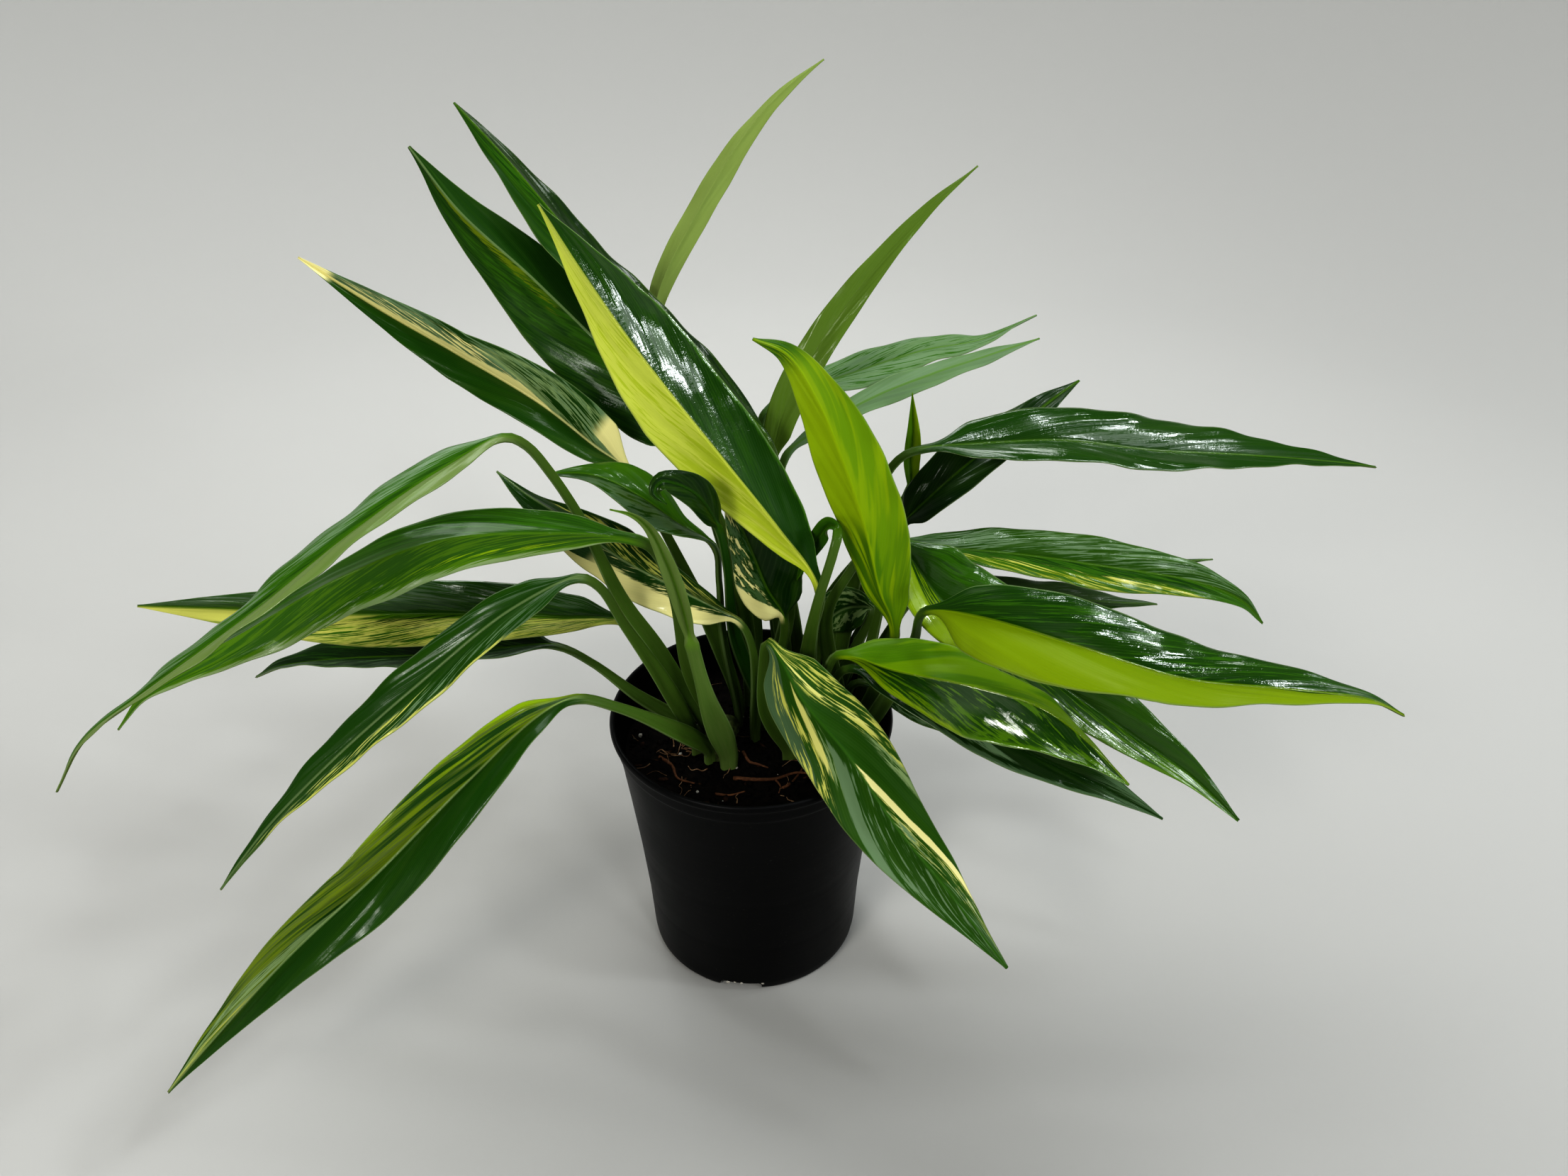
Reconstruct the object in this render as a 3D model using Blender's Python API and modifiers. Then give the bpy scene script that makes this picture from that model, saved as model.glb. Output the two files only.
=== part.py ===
"""Potted pothos: a black nursery pot, its potting mix and the leaves on their stalks.

Frame: metres, +Z up, origin at the middle of the pot's underside, front at -Y.
Every physical piece is one object. A leaf is one piece: stalk, joint and blade.
Lengths in the tables are whole millimetres and are scaled by MM.
"""
import math
from typing import NamedTuple

import bmesh
import bpy
import numpy as np

MM = 0.001

# Pot
POT_HEIGHT = 170
RIM_RADIUS = 82.5
FOOT_RADIUS = 62.5
FLOOR = 2.0
SIDES = 40
NOTCH_WIDTH = 26
NOTCH_HEIGHT = 6
NOTCH_COUNT = 4

# Potting mix
MIX_TOP = 145
MIX_BOTTOM = FLOOR + 0.3
WALL_GAP = 0.3
HOLE_FLOOR = 137.5
HOLE_CLEARANCE = 1.0
HOLE_SIDES = 8

# Leaves: each stalk starts straight up in its hole, through these heights.
STALK_HEIGHTS = (138, 146, 152)
BLADE_THICKNESS = 0.8
STALK_HALF_WIDTH = 2.4
# A leaf with no turn looks this way, to the front and up.
FACING = np.array([0.0, -0.83, 0.56])


class Leaf(NamedTuple):
    """One leaf: where its stalk and midrib run, and the blade's shape across."""

    root: tuple
    stalk: list
    blade: list
    half: float
    turn: tuple
    fold: float
    belly: float = 1.0
    skew: float = 0.0
    stem: float = STALK_HALF_WIDTH
    finish: str = "mid"


LEAVES = {
    "leaf_upper_1": Leaf(
        (8, 42), [(21, 36, 216), (17, 36, 284)],
        [(11, 36, 326), (-14, 54, 351), (-49, 78, 378), (-92, 106, 411), (-131, 134, 447),
         (-163, 156, 474)],
        18.5, (30, 40, 30), -20, 1.3, finish="dark"),
    "leaf_upper_2": Leaf(
        (24, 10), [(32, 4, 189), (35, 0, 227)],
        [(38, -6, 261), (17, -1, 293), (-13, 11, 330), (-56, 27, 384), (-84, 37, 425), (-102, 44, 454)],
        29, (-25, -5, -40), -30, 1.35, stem=2.8, finish="dark"),
    "leaf_upper_3": Leaf(
        (-2, 36), [(-5, 40, 214), (-20, 44, 270)],
        [(-28, 48, 313), (-53, 59, 342), (-80, 73, 366), (-119, 95, 397), (-160, 119, 426),
         (-187, 138, 455)],
        28, (20, 15, -25), -28, 0.95, -0.05, finish="dark"),
    "leaf_upper_4": Leaf(
        (-8, 28), [(-23, 28, 207), (-39, 29, 253), (-52, 26, 288)],
        [(-63, 24, 314), (-83, 30, 328), (-110, 40, 347), (-155, 58, 368), (-198, 77, 385),
         (-246, 100, 406)],
        19, (30, -15, 10), 34, 0.75, 0.05, finish="striped"),
    "leaf_top_1": Leaf(
        (2, 52), [(0, 60, 199), (-21, 74, 257), (-46, 93, 307)],
        [(-57, 102, 348), (-52, 114, 380), (-29, 132, 421), (-1, 150, 460), (20, 161, 480), (41, 172, 493)],
        8, (185, 180, 165), 24, 1.15, finish="olive"),
    "leaf_top_2": Leaf(
        (22, 52), [(16, 56, 202), (12, 58, 261)],
        [(12, 60, 300), (19, 66, 330), (36, 75, 362), (63, 89, 397), (95, 104, 430), (123, 116, 451)],
        10, (180, 175, 175), -18, 0.75, finish="olive"),
    "leaf_back_1": Leaf(
        (16, 62), [(13, 72, 212), (6, 84, 275)],
        [(7, 90, 315), (26, 99, 325), (60, 114, 331), (101, 131, 337), (140, 148, 337), (173, 164, 346)],
        13, (-30, -30, -70), 8, 1.15, 0.1, finish="grey"),
    "leaf_back_2": Leaf(
        (30, 62), [(21, 68, 215), (16, 73, 262)],
        [(20, 78, 295), (41, 83, 312), (70, 92, 326), (103, 103, 335), (136, 115, 341), (169, 127, 347)],
        8.5, (-30, -25, -35), -10, 1.3, -0.05, finish="grey"),
    "leaf_right_1": Leaf(
        (50, 36), [(57, 48, 203), (66, 48, 262), (76, 46, 301), (85, 46, 313)],
        [(95, 46, 317), (130, 49, 319), (174, 54, 318), (226, 63, 307), (287, 77, 296), (342, 89, 285),
         (372, 96, 278)],
        21, (-30, -35, -55), 18, finish="dark"),
    "leaf_right_2": Leaf(
        (44, 48), [(52, 52, 185), (72, 58, 228)],
        [(88, 62, 258), (106, 65, 278), (130, 74, 297), (156, 88, 310), (177, 103, 320), (193, 116, 325)],
        17, (-35, -25, -25), 18, 0.85, finish="dark"),
    "leaf_right_3": Leaf(
        (52, -6), [(65, -5, 170), (73, -6, 197)],
        [(80, -10, 232), (70, -15, 264), (60, -19, 308), (48, -22, 347), (34, -26, 384), (20, -30, 408),
         (5, -36, 418)],
        21.5, (-40, -20, -15), -28, 1.1, 0.05, stem=2.8, finish="lime"),
    "leaf_right_4": Leaf(
        (64, 16), [(68, 17, 194), (76, 21, 242)],
        [(81, 30, 265), (112, 34, 260), (155, 38, 253), (205, 41, 243), (261, 44, 230), (289, 44, 217),
         (305, 45, 200)],
        17.5, (-50, -20, -20), 18, 1.2, 0.05, finish="striped"),
    "leaf_right_5": Leaf(
        (56, 44), [(66, 44, 195), (88, 47, 226)],
        [(116, 50, 241), (154, 58, 237), (195, 68, 228), (242, 80, 219), (285, 92, 215)],
        9, (-40, -40, -40), 14, finish="dark"),
    "leaf_right_6": Leaf(
        (56, 6), [(43, 8, 231), (56, 9, 262), (66, 8, 279)],
        [(77, 11, 281), (106, 3, 246), (138, -6, 223), (176, -16, 199), (217, -29, 174), (249, -40, 155),
         (275, -55, 135)],
        27, (-10, -20, 5), 22, 0.8, -0.1, finish="lime"),
    "leaf_right_7": Leaf(
        (64, 28), [(79, 30, 200), (94, 32, 227)],
        [(111, 34, 235), (149, 42, 224), (186, 52, 213), (219, 62, 203), (249, 72, 195)],
        11, (-40, -40, -40), 16, finish="dark"),
    "leaf_right_8": Leaf(
        (60, -14), [(81, -11, 198), (90, -13, 228)],
        [(94, -38, 268), (120, -50, 272), (169, -65, 264), (218, -79, 255), (266, -89, 256),
         (306, -95, 254), (323, -98, 247)],
        26.5, (15, -40, -55), 20, 0.95, 0.1, finish="lime"),
    "leaf_right_9": Leaf(
        (42, -12), [(40, -16, 192), (43, -21, 217)],
        [(49, -26, 230), (77, -45, 234), (116, -62, 237), (151, -75, 233), (176, -86, 218),
         (196, -95, 199)],
        26.5, (40, -30, -50), -34, 1.2, 0.05, stem=2.8, finish="lime"),
    "leaf_right_10": Leaf(
        (46, 2), [(46, -8, 185), (49, -12, 205)],
        [(56, -16, 213), (80, -28, 211), (113, -42, 201), (151, -57, 187), (188, -71, 176),
         (221, -84, 164)],
        19, (-30, -20, -35), 26, 1.15, finish="dark"),
    "leaf_right_11": Leaf(
        (54, 15), [(55, 14, 165), (60, 11, 181)],
        [(67, 8, 184), (89, 1, 176), (111, -6, 168), (139, -18, 160)],
        13, (-40, -40, -40), 14, finish="dark"),
    "leaf_front": Leaf(
        (22, -14), [(9, -18, 186), (8, -20, 220)],
        [(11, -26, 238), (29, -48, 216), (53, -72, 198), (77, -98, 173), (104, -124, 151), (134, -146, 119)],
        27, (10, -10, -25), -28, 0.95, stem=2.8, finish="striped"),
    "leaf_left_1": Leaf(
        (-25, -1), [(-50, -12, 221), (-67, -18, 259), (-83, -29, 317), (-94, -38, 349), (-103, -46, 369)],
        [(-111, -54, 377), (-137, -77, 372), (-170, -108, 359), (-212, -134, 333), (-259, -153, 304),
         (-287, -159, 284), (-305, -164, 258)],
        12.5, (38, 50, 65), 8, 0.75, finish="mid"),
    "leaf_left_2": Leaf(
        (-15, -5), [(-32, -22, 217), (-38, -34, 275), (-45, -42, 306)],
        [(-53, -48, 317), (-99, -59, 328), (-145, -69, 330), (-192, -78, 315), (-241, -87, 289),
         (-290, -95, 263), (-309, -100, 240)],
        19, (-20, 25, 50), -34, 1.2, stem=2.8, finish="mid"),
    "leaf_left_3": Leaf(
        (-28, 10), [(-43, 5, 185), (-58, 2, 213)],
        [(-67, 0, 232), (-110, 1, 236), (-166, 5, 235), (-231, 9, 232), (-296, 13, 233), (-347, 16, 233)],
        20.5, (40, 5, 0), 24, 1.05, -0.05, stem=2.8, finish="striped"),
    "leaf_left_4": Leaf(
        (-34, 2), [(-66, 2, 179), (-91, 6, 200)],
        [(-111, 10, 209), (-148, 18, 201), (-194, 29, 188), (-250, 42, 175), (-291, 53, 161),
         (-314, 62, 146)],
        22, (45, 45, 60), 30, 0.9, finish="dark"),
    "leaf_left_5": Leaf(
        (-32, -8), [(-48, -24, 211), (-65, -36, 258), (-75, -44, 287)],
        [(-84, -50, 296), (-116, -65, 287), (-159, -84, 258), (-201, -102, 226), (-237, -121, 195),
         (-262, -138, 168)],
        14, (25, 25, 45), 14, 0.95, -0.05, finish="dark"),
    "leaf_left_6": Leaf(
        (-24, -15), [(-46, -34, 186), (-71, -46, 210)],
        [(-90, -54, 222), (-107, -68, 223), (-142, -94, 201), (-186, -122, 166), (-232, -148, 131),
         (-276, -172, 89), (-296, -184, 69)],
        21, (35, -10, 20), 30, 1.05, -0.1, stem=2.8, finish="striped"),
    "leaf_inner_1": Leaf(
        (2, 4), [(3, 3, 184), (0, 1, 219)],
        [(-6, 0, 233), (-36, 1, 253), (-68, 3, 272), (-96, 4, 297), (-117, 4, 314), (-130, 4, 327)],
        20, (45, 5, 60), -34, 1.15, 0.05, finish="striped"),
    "leaf_inner_2": Leaf(
        (-8, 18), [(-16, 17, 211), (-17, 12, 252)],
        [(-19, 8, 278), (-36, 4, 294), (-57, -1, 315), (-78, -5, 329), (-101, -8, 332)],
        17, (75, 45, 60), 8, 1.4, -0.05, finish="mid"),
    "leaf_inner_3": Leaf(
        (8, 16), [(-9, 13, 213), (-12, 3, 268)],
        [(-16, -4, 298), (-25, -10, 320), (-36, -16, 331), (-43, -20, 334), (-46, -23, 330),
         (-40, -25, 324)],
        9, (40, 20, -20), 10, finish="dark"),
    "leaf_inner_4": Leaf(
        (12, 28), [(16, 22, 188)],
        [(19, 18, 223), (9, 19, 243), (1, 21, 265), (-7, 22, 288), (-14, 23, 309)],
        22, (10, 20, 30), 24, 1.0, 0.1, finish="striped"),
    "leaf_inner_5": Leaf(
        (46, 23), [(60, 27, 193)],
        [(70, 30, 221), (61, 34, 220), (53, 38, 215), (45, 42, 205), (37, 45, 193)],
        14, (-10, -10, -10), 12, finish="striped"),
    "leaf_inner_6": Leaf(
        (31, 1), [(32, -10, 218), (37, -23, 263), (44, -22, 291)],
        [(47, -15, 302), (43, -3, 298), (38, 8, 284), (32, 14, 267), (26, 18, 249)],
        6, (0, 0, 0), 30, finish="mid"),
    "spike_back": Leaf(
        (38, 58), [(44, 66, 195), (74, 77, 240)],
        [(93, 80, 272), (93, 80, 291), (93, 79, 308), (92, 78, 322), (91, 77, 336)],
        5.5, (0, 0, 0), 30, finish="lime"),
    "sheath_front": Leaf(
        (-13, -19), [(-23, -28, 199)],
        [(-30, -34, 243), (-34, -40, 274), (-40, -46, 304), (-47, -52, 327), (-54, -57, 337),
         (-63, -62, 343)],
        5, (0, 0, 0), 24, stem=3.6, finish="pale"),
}

# Colour and roughness of each finish.
FINISHES = {
    "dark": ((0.030, 0.105, 0.022), 0.28),
    "mid": ((0.085, 0.225, 0.030), 0.34),
    "lime": ((0.330, 0.500, 0.020), 0.38),
    "striped": ((0.180, 0.290, 0.060), 0.34),
    "olive": ((0.150, 0.230, 0.050), 0.50),
    "grey": ((0.120, 0.190, 0.090), 0.42),
    "pale": ((0.260, 0.380, 0.130), 0.45),
    "pot": ((0.012, 0.013, 0.015), 0.42),
    "mix": ((0.020, 0.014, 0.010), 0.95),
}

# How wide the blade is along its length, as shares of the full half width.
BLADE_PROFILE = (
    (0.00, 0.10), (0.03, 0.34), (0.08, 0.60), (0.16, 0.82), (0.27, 0.96), (0.38, 1.00), (0.50, 0.95),
    (0.62, 0.81), (0.74, 0.60), (0.85, 0.36), (0.93, 0.18), (0.98, 0.07), (1.00, 0.03),
)
# How thick the stalk is: -1 at the mix, 0 at the blade, 1 at the tip.
STALK_PROFILE = (
    (-1.00, 1.15), (-0.70, 1.36), (-0.50, 1.20), (-0.20, 0.90), (-0.05, 0.88), (0.00, 0.95), (0.15, 0.70),
    (1.00, 0.30),
)
# Where the sections of a long and of a short blade stand.
LONG_STATIONS = (0, 0.04, 0.09, 0.16, 0.25, 0.34, 0.44, 0.54, 0.64, 0.74, 0.83, 0.90, 0.96, 1)
SHORT_STATIONS = (0, 0.06, 0.15, 0.28, 0.42, 0.58, 0.74, 0.87, 0.95, 1)
SHORT_BLADE = 140
STALK_STEP = 28
# Ten points go round a section: five on top from left to right, five back below.
ROUND_ANGLES = np.radians([162, 126, 90, 54, 18, -18, -54, -90, -126, -162])
ACROSS = np.array([-1, -0.5, 0, 0.5, 1, 1, 0.5, 0, -0.5, -1])
BELOW = np.array([0, 0, 0, 0, 0, 1, 1, 1, 1, 1])

# Roots that lie on the mix: points along each, and its radius.
SURFACE_ROOTS = (
    ([(-10, -30), (2, -33), (14, -31), (26, -27), (36, -28)], 1.3),
    ([(-5, -9), (-1, -17), (10, -23)], 1.1),
    ([(18, -38), (25, -32), (30, -22)], 1.1),
    ([(-54, -12), (-46, -20), (-42, -31), (-32, -36)], 1.2),
)


def clear_scene() -> None:
    """Remove the objects of the start-up scene."""
    for obj in list(bpy.data.objects):
        bpy.data.objects.remove(obj, do_unlink=True)


def new_collection(name: str) -> bpy.types.Collection:
    """Add an empty collection to the scene."""
    group = bpy.data.collections.new(name)
    bpy.context.scene.collection.children.link(group)
    return group


def make_material(name: str) -> bpy.types.Material:
    """Make the plain material of one object from its finish."""
    colour, roughness = FINISHES[name]
    material = bpy.data.materials.new(name)
    material.use_nodes = True
    shader = material.node_tree.nodes["Principled BSDF"]
    shader.inputs["Base Color"].default_value = (*colour, 1.0)
    shader.inputs["Roughness"].default_value = roughness
    shader.inputs["Metallic"].default_value = 0.0
    return material


def add_object(name: str, mesh: bpy.types.Mesh, group: bpy.types.Collection) -> bpy.types.Object:
    """Put a mesh in the scene as a named object."""
    obj = bpy.data.objects.new(name, mesh)
    group.objects.link(obj)
    return obj


def turned(name: str, profile: list, group: bpy.types.Collection) -> bpy.types.Object:
    """Turn a profile of radius and height in mm about the Z axis."""
    mesh = bpy.data.meshes.new(name)
    points = [(r * MM, 0.0, z * MM) for r, z in profile]
    edges = [(i, i + 1) for i in range(len(points) - 1)]
    mesh.from_pydata(points, edges, [])
    obj = add_object(name, mesh, group)
    screw = obj.modifiers.new("turn", "SCREW")
    screw.steps = SIDES
    screw.render_steps = SIDES
    screw.use_merge_vertices = True
    screw.merge_threshold = 0.00001
    screw.use_smooth_shade = True
    return obj


def notch_cutter(index: int, group: bpy.types.Collection) -> bpy.types.Object:
    """Block that cuts one drainage notch through the foot of the wall and the floor's edge."""
    shape = bmesh.new()
    bmesh.ops.create_cube(shape, size=1.0)
    depth = 16
    for vert in shape.verts:
        vert.co.x *= NOTCH_WIDTH * MM
        vert.co.y *= depth * MM
        vert.co.z = (vert.co.z + 0.5) * (NOTCH_HEIGHT + 1) * MM - 1 * MM
        vert.co.y -= (FOOT_RADIUS - 1) * MM
    upper = [e for e in shape.edges if all(v.co.z > 0 for v in e.verts)]
    top = [e for e in upper if abs(e.verts[0].co.x - e.verts[1].co.x) < 0.00001]
    bmesh.ops.bevel(shape, geom=top, offset=2 * MM, segments=3, profile=0.5, affect="EDGES")
    mesh = bpy.data.meshes.new("notch")
    shape.to_mesh(mesh)
    shape.free()
    cutter = add_object("cut_notch_%d" % index, mesh, group)
    cutter.rotation_euler.z = math.radians(index * 360 / NOTCH_COUNT)
    hide_cutter(cutter)
    return cutter


def hide_cutter(obj: bpy.types.Object) -> None:
    """Mark an object as a cutter that isn't part of the model."""
    obj.hide_render = True
    obj.display_type = "WIRE"


def cut(target: bpy.types.Object, cutter: bpy.types.Object, operation: str = "DIFFERENCE") -> None:
    """Cut one object with another, or join the other to it."""
    step = target.modifiers.new(cutter.name, "BOOLEAN")
    step.operation = operation
    step.solver = "EXACT"
    step.object = cutter


def make_pot(group: bpy.types.Collection, cutters: bpy.types.Collection) -> bpy.types.Object:
    """Tapered pot with a rolled rim, a step under it and four drainage notches."""
    inner = [(0, FLOOR), (60.2, FLOOR), (62.4, 5), (64.4, 40), (67.9, 80), (72.4, 120), (76.4, 152)]
    rim = [(78.2, 158), (78.6, 166), (79.6, 169.4), (81.2, POT_HEIGHT), (RIM_RADIUS, 168), (82.2, 165.6)]
    outer = [(80.2, 164.4), (79.9, 157), (78.2, 154.6), (74, 120), (69.5, 80), (66, 40), (64.2, 5)]
    foot = [(FOOT_RADIUS, 0), (0, 0)]
    pot = turned("pot", inner + rim + outer + foot, group)
    for index in range(NOTCH_COUNT):
        cut(pot, notch_cutter(index, cutters))
    return pot


def hole_cutter(group: bpy.types.Collection) -> bpy.types.Object:
    """One mesh with a short cylinder for the hole of every stalk."""
    shape = bmesh.new()
    for leaf in LEAVES.values():
        made = bmesh.ops.create_cone(
            shape, cap_ends=True, segments=HOLE_SIDES, depth=20 * MM,
            radius1=hole_radius(leaf) * MM, radius2=hole_radius(leaf) * MM)
        for vert in made["verts"]:
            vert.co.x += leaf.root[0] * MM
            vert.co.y += leaf.root[1] * MM
            vert.co.z += (HOLE_FLOOR + 10) * MM
    mesh = bpy.data.meshes.new("holes")
    shape.to_mesh(mesh)
    shape.free()
    cutter = add_object("cut_holes", mesh, group)
    hide_cutter(cutter)
    return cutter


def hole_radius(leaf: Leaf) -> float:
    """Radius of the hole that a stalk stands in."""
    return 1.15 * leaf.stem * 1.2 + HOLE_CLEARANCE


def root_strand(index: int, points: list, radius: float, group: bpy.types.Collection) -> bpy.types.Object:
    """A root half sunk in the mix, as a closed mesh ready to be joined to it."""
    curve = bpy.data.curves.new("strand", "CURVE")
    curve.dimensions = "3D"
    curve.bevel_depth = radius * MM
    curve.bevel_resolution = 1
    curve.use_fill_caps = True
    track = smooth_line([(x, y, MIX_TOP + 0.3) for x, y in points], 3)
    spline = curve.splines.new("POLY")
    spline.points.add(len(track) - 1)
    for point, place in zip(spline.points, track):
        point.co = (*(place * MM), 1.0)
    tube = add_object("strand_curve", curve, group)
    mesh = bpy.data.meshes.new_from_object(tube.evaluated_get(bpy.context.evaluated_depsgraph_get()))
    bpy.data.objects.remove(tube, do_unlink=True)
    shape = bmesh.new()
    shape.from_mesh(mesh)
    bmesh.ops.remove_doubles(shape, verts=shape.verts, dist=0.00001)
    bmesh.ops.recalc_face_normals(shape, faces=shape.faces)
    shape.to_mesh(mesh)
    shape.free()
    strand = add_object("join_strand_%d" % index, mesh, group)
    hide_cutter(strand)
    return strand


def make_mix(group: bpy.types.Collection, cutters: bpy.types.Collection) -> bpy.types.Object:
    """Potting mix that fills the pot, with roots on top and a hole for each stalk."""
    gap = WALL_GAP
    side = [(75.5 - gap, MIX_TOP), (72.4 - gap, 120), (67.9 - gap, 80), (64.4 - gap, 40), (62.4 - gap, 5.2)]
    profile = [(0, MIX_TOP)] + side + [(60.2 - gap, MIX_BOTTOM), (0, MIX_BOTTOM)]
    mix = turned("potting_mix", profile, group)
    for index, (points, radius) in enumerate(SURFACE_ROOTS):
        cut(mix, root_strand(index, points, radius, cutters), "UNION")
    cut(mix, hole_cutter(cutters))
    return mix


def smooth_line(points: list, per_span: int) -> np.ndarray:
    """Centripetal Catmull-Rom curve through the points, per_span samples a span."""
    knots = np.asarray(points, float)
    knots = np.vstack([2 * knots[0] - knots[1], knots, 2 * knots[-1] - knots[-2]])
    steps = np.sqrt(np.linalg.norm(np.diff(knots, axis=0), axis=1))
    t = np.concatenate([[0], np.cumsum(steps)])
    parts = []
    for i in range(1, len(knots) - 2):
        u = np.linspace(t[i], t[i + 1], per_span, endpoint=False)[:, None]
        pairs = [mix_points(knots[k], knots[k + 1], t[k], t[k + 1], u) for k in (i - 1, i, i + 1)]
        left = mix_points(pairs[0], pairs[1], t[i - 1], t[i + 1], u)
        right = mix_points(pairs[1], pairs[2], t[i], t[i + 2], u)
        parts.append(mix_points(left, right, t[i], t[i + 1], u))
    parts.append(knots[-2][None])
    return np.vstack(parts)


def mix_points(a: np.ndarray, b: np.ndarray, ta: float, tb: float, u: np.ndarray) -> np.ndarray:
    """Straight blend between a at ta and b at tb."""
    return ((tb - u) * a + (u - ta) * b) / (tb - ta)


def unit(v: np.ndarray) -> np.ndarray:
    """Vectors scaled to length one."""
    return v / np.linalg.norm(v, axis=-1, keepdims=True)


def at_length(line: np.ndarray, lengths: np.ndarray, wanted: np.ndarray) -> np.ndarray:
    """Values of a sampled line at the wanted distances along it."""
    return np.stack([np.interp(wanted, lengths, line[:, k]) for k in range(3)], -1)


def leaf_stations(leaf: Leaf) -> tuple:
    """Section places, their directions and their parameter, -1 at the mix to 1 at the tip."""
    x, y = leaf.root
    stalk = [(x, y, z) for z in STALK_HEIGHTS] + list(leaf.stalk)
    per_span = 24
    line = smooth_line(stalk + list(leaf.blade), per_span)
    lengths = np.concatenate([[0], np.cumsum(np.linalg.norm(np.diff(line, axis=0), axis=1))])
    stalk_length = lengths[len(stalk) * per_span]
    blade_length = lengths[-1] - stalk_length
    shares = SHORT_STATIONS if blade_length < SHORT_BLADE else LONG_STATIONS
    count = max(5, round(stalk_length / STALK_STEP))
    straight = STALK_HEIGHTS[1] - STALK_HEIGHTS[0]
    lower = np.append(0, np.linspace(straight, stalk_length, count, endpoint=False))
    upper = stalk_length + np.array(shares) * blade_length
    wanted = np.concatenate([lower, upper])
    places = at_length(line, lengths, wanted)
    directions = unit(at_length(unit(np.gradient(line, axis=0)), lengths, wanted))
    t = np.concatenate([lower / stalk_length - 1, np.array(shares, float)])
    return places, directions, t


def leaf_sections(leaf: Leaf) -> np.ndarray:
    """Ten points round each section, an oval on the stalk and a thin fold on the blade."""
    places, directions, t = leaf_stations(leaf)
    on_blade = np.clip(t, 0, 1)
    facing = unit(FACING - (directions @ FACING)[:, None] * directions)
    turn = np.radians(np.interp(on_blade, (0, 0.5, 1), leaf.turn))[:, None]
    up = unit(facing * np.cos(turn) + np.cross(directions, facing) * np.sin(turn))
    side = unit(np.cross(directions, up))
    share = np.interp(on_blade ** leaf.belly, *zip(*BLADE_PROFILE))
    half = np.maximum(leaf.half * share, 0.7)
    stem = leaf.stem * np.interp(t, *zip(*STALK_PROFILE))
    blend = np.clip(on_blade / 0.10, 0, 1)
    blend = blend * blend * (3 - 2 * blend)
    fold = math.radians(leaf.fold)
    arch = 0.10 * math.copysign(1, leaf.fold)
    sections = []
    for i in range(len(t)):
        oval_x = 1.20 * stem[i] * np.cos(ROUND_ANGLES)
        oval_z = 0.85 * stem[i] * np.sin(ROUND_ANGLES)
        width = half[i] * np.where(ACROSS > 0, 1 + leaf.skew, 1 - leaf.skew)
        rib = np.where(ACROSS == 0, 0.5 * stem[i], 0)
        blade_x = width * ACROSS * math.cos(fold)
        blade_z = width * np.abs(ACROSS) * math.sin(fold) + arch * width * (np.abs(ACROSS) == 0.5)
        blade_z = blade_z + BLADE_THICKNESS * (0.5 - BELOW) - rib * BELOW
        x = oval_x + (blade_x - oval_x) * blend[i]
        z = oval_z + (blade_z - oval_z) * blend[i]
        sections.append(places[i] + x[:, None] * side[i] + z[:, None] * up[i])
    return np.array(sections)


def leaf_faces(count: int) -> list:
    """Triangles between the sections, split alike on the upper and the lower face."""
    faces = []
    around = len(ACROSS)
    for i in range(count - 1):
        for j in range(around):
            a = i * around + j
            b = i * around + (j + 1) % around
            c = a + around
            d = b + around
            on_edge = j in (4, 9)
            forward = on_edge or (j < 4) == (ACROSS[j] >= 0)
            faces += [(a, d, c), (a, b, d)] if forward else [(a, b, c), (b, d, c)]
    last = (count - 1) * around
    faces.append(tuple(reversed(range(around))))
    faces.append(tuple(range(last, last + around)))
    return faces


def make_leaf(name: str, leaf: Leaf, group: bpy.types.Collection) -> bpy.types.Object:
    """One leaf as a loft from its round stalk to its thin folded blade."""
    sections = leaf_sections(leaf)
    origin = np.array([leaf.root[0], leaf.root[1], MIX_TOP])
    points = (sections.reshape(-1, 3) - origin) * MM
    mesh = bpy.data.meshes.new(name)
    mesh.from_pydata(points.tolist(), [], leaf_faces(len(sections)))
    mesh.update()
    obj = add_object(name, mesh, group)
    obj.location = (origin * MM).tolist()
    mesh.shade_smooth()
    return obj


def main() -> None:
    """Build the pot, the mix and every leaf."""
    clear_scene()
    group = new_collection("potted_pothos")
    cutters = new_collection("cutters")
    plant = bpy.data.objects.new("plant", None)
    group.objects.link(plant)
    pot = make_pot(group, cutters)
    pot.data.materials.append(make_material("pot"))
    mix = make_mix(group, cutters)
    mix.data.materials.append(make_material("mix"))
    mix.parent = plant
    for name, leaf in LEAVES.items():
        obj = make_leaf(name, leaf, group)
        obj.data.materials.append(make_material(leaf.finish))
        obj.parent = plant


main()
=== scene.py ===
"""Potted pothos: long pointed leaves, partly variegated, in a black nursery pot.

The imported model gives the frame. Every node is replaced by a finer piece of the
same form: leaves with pleats, veins and streaks, a turned pot with a rolled rim,
and a potting mix with crumbs, bark, roots and perlite. Sizes are in millimetres
and are scaled by MM where a mesh is made.
"""
import logging
import math
import random
from dataclasses import dataclass, field
from enum import Enum

import bmesh
import bpy
import numpy as np
from mathutils import Matrix, Vector, noise


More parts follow.
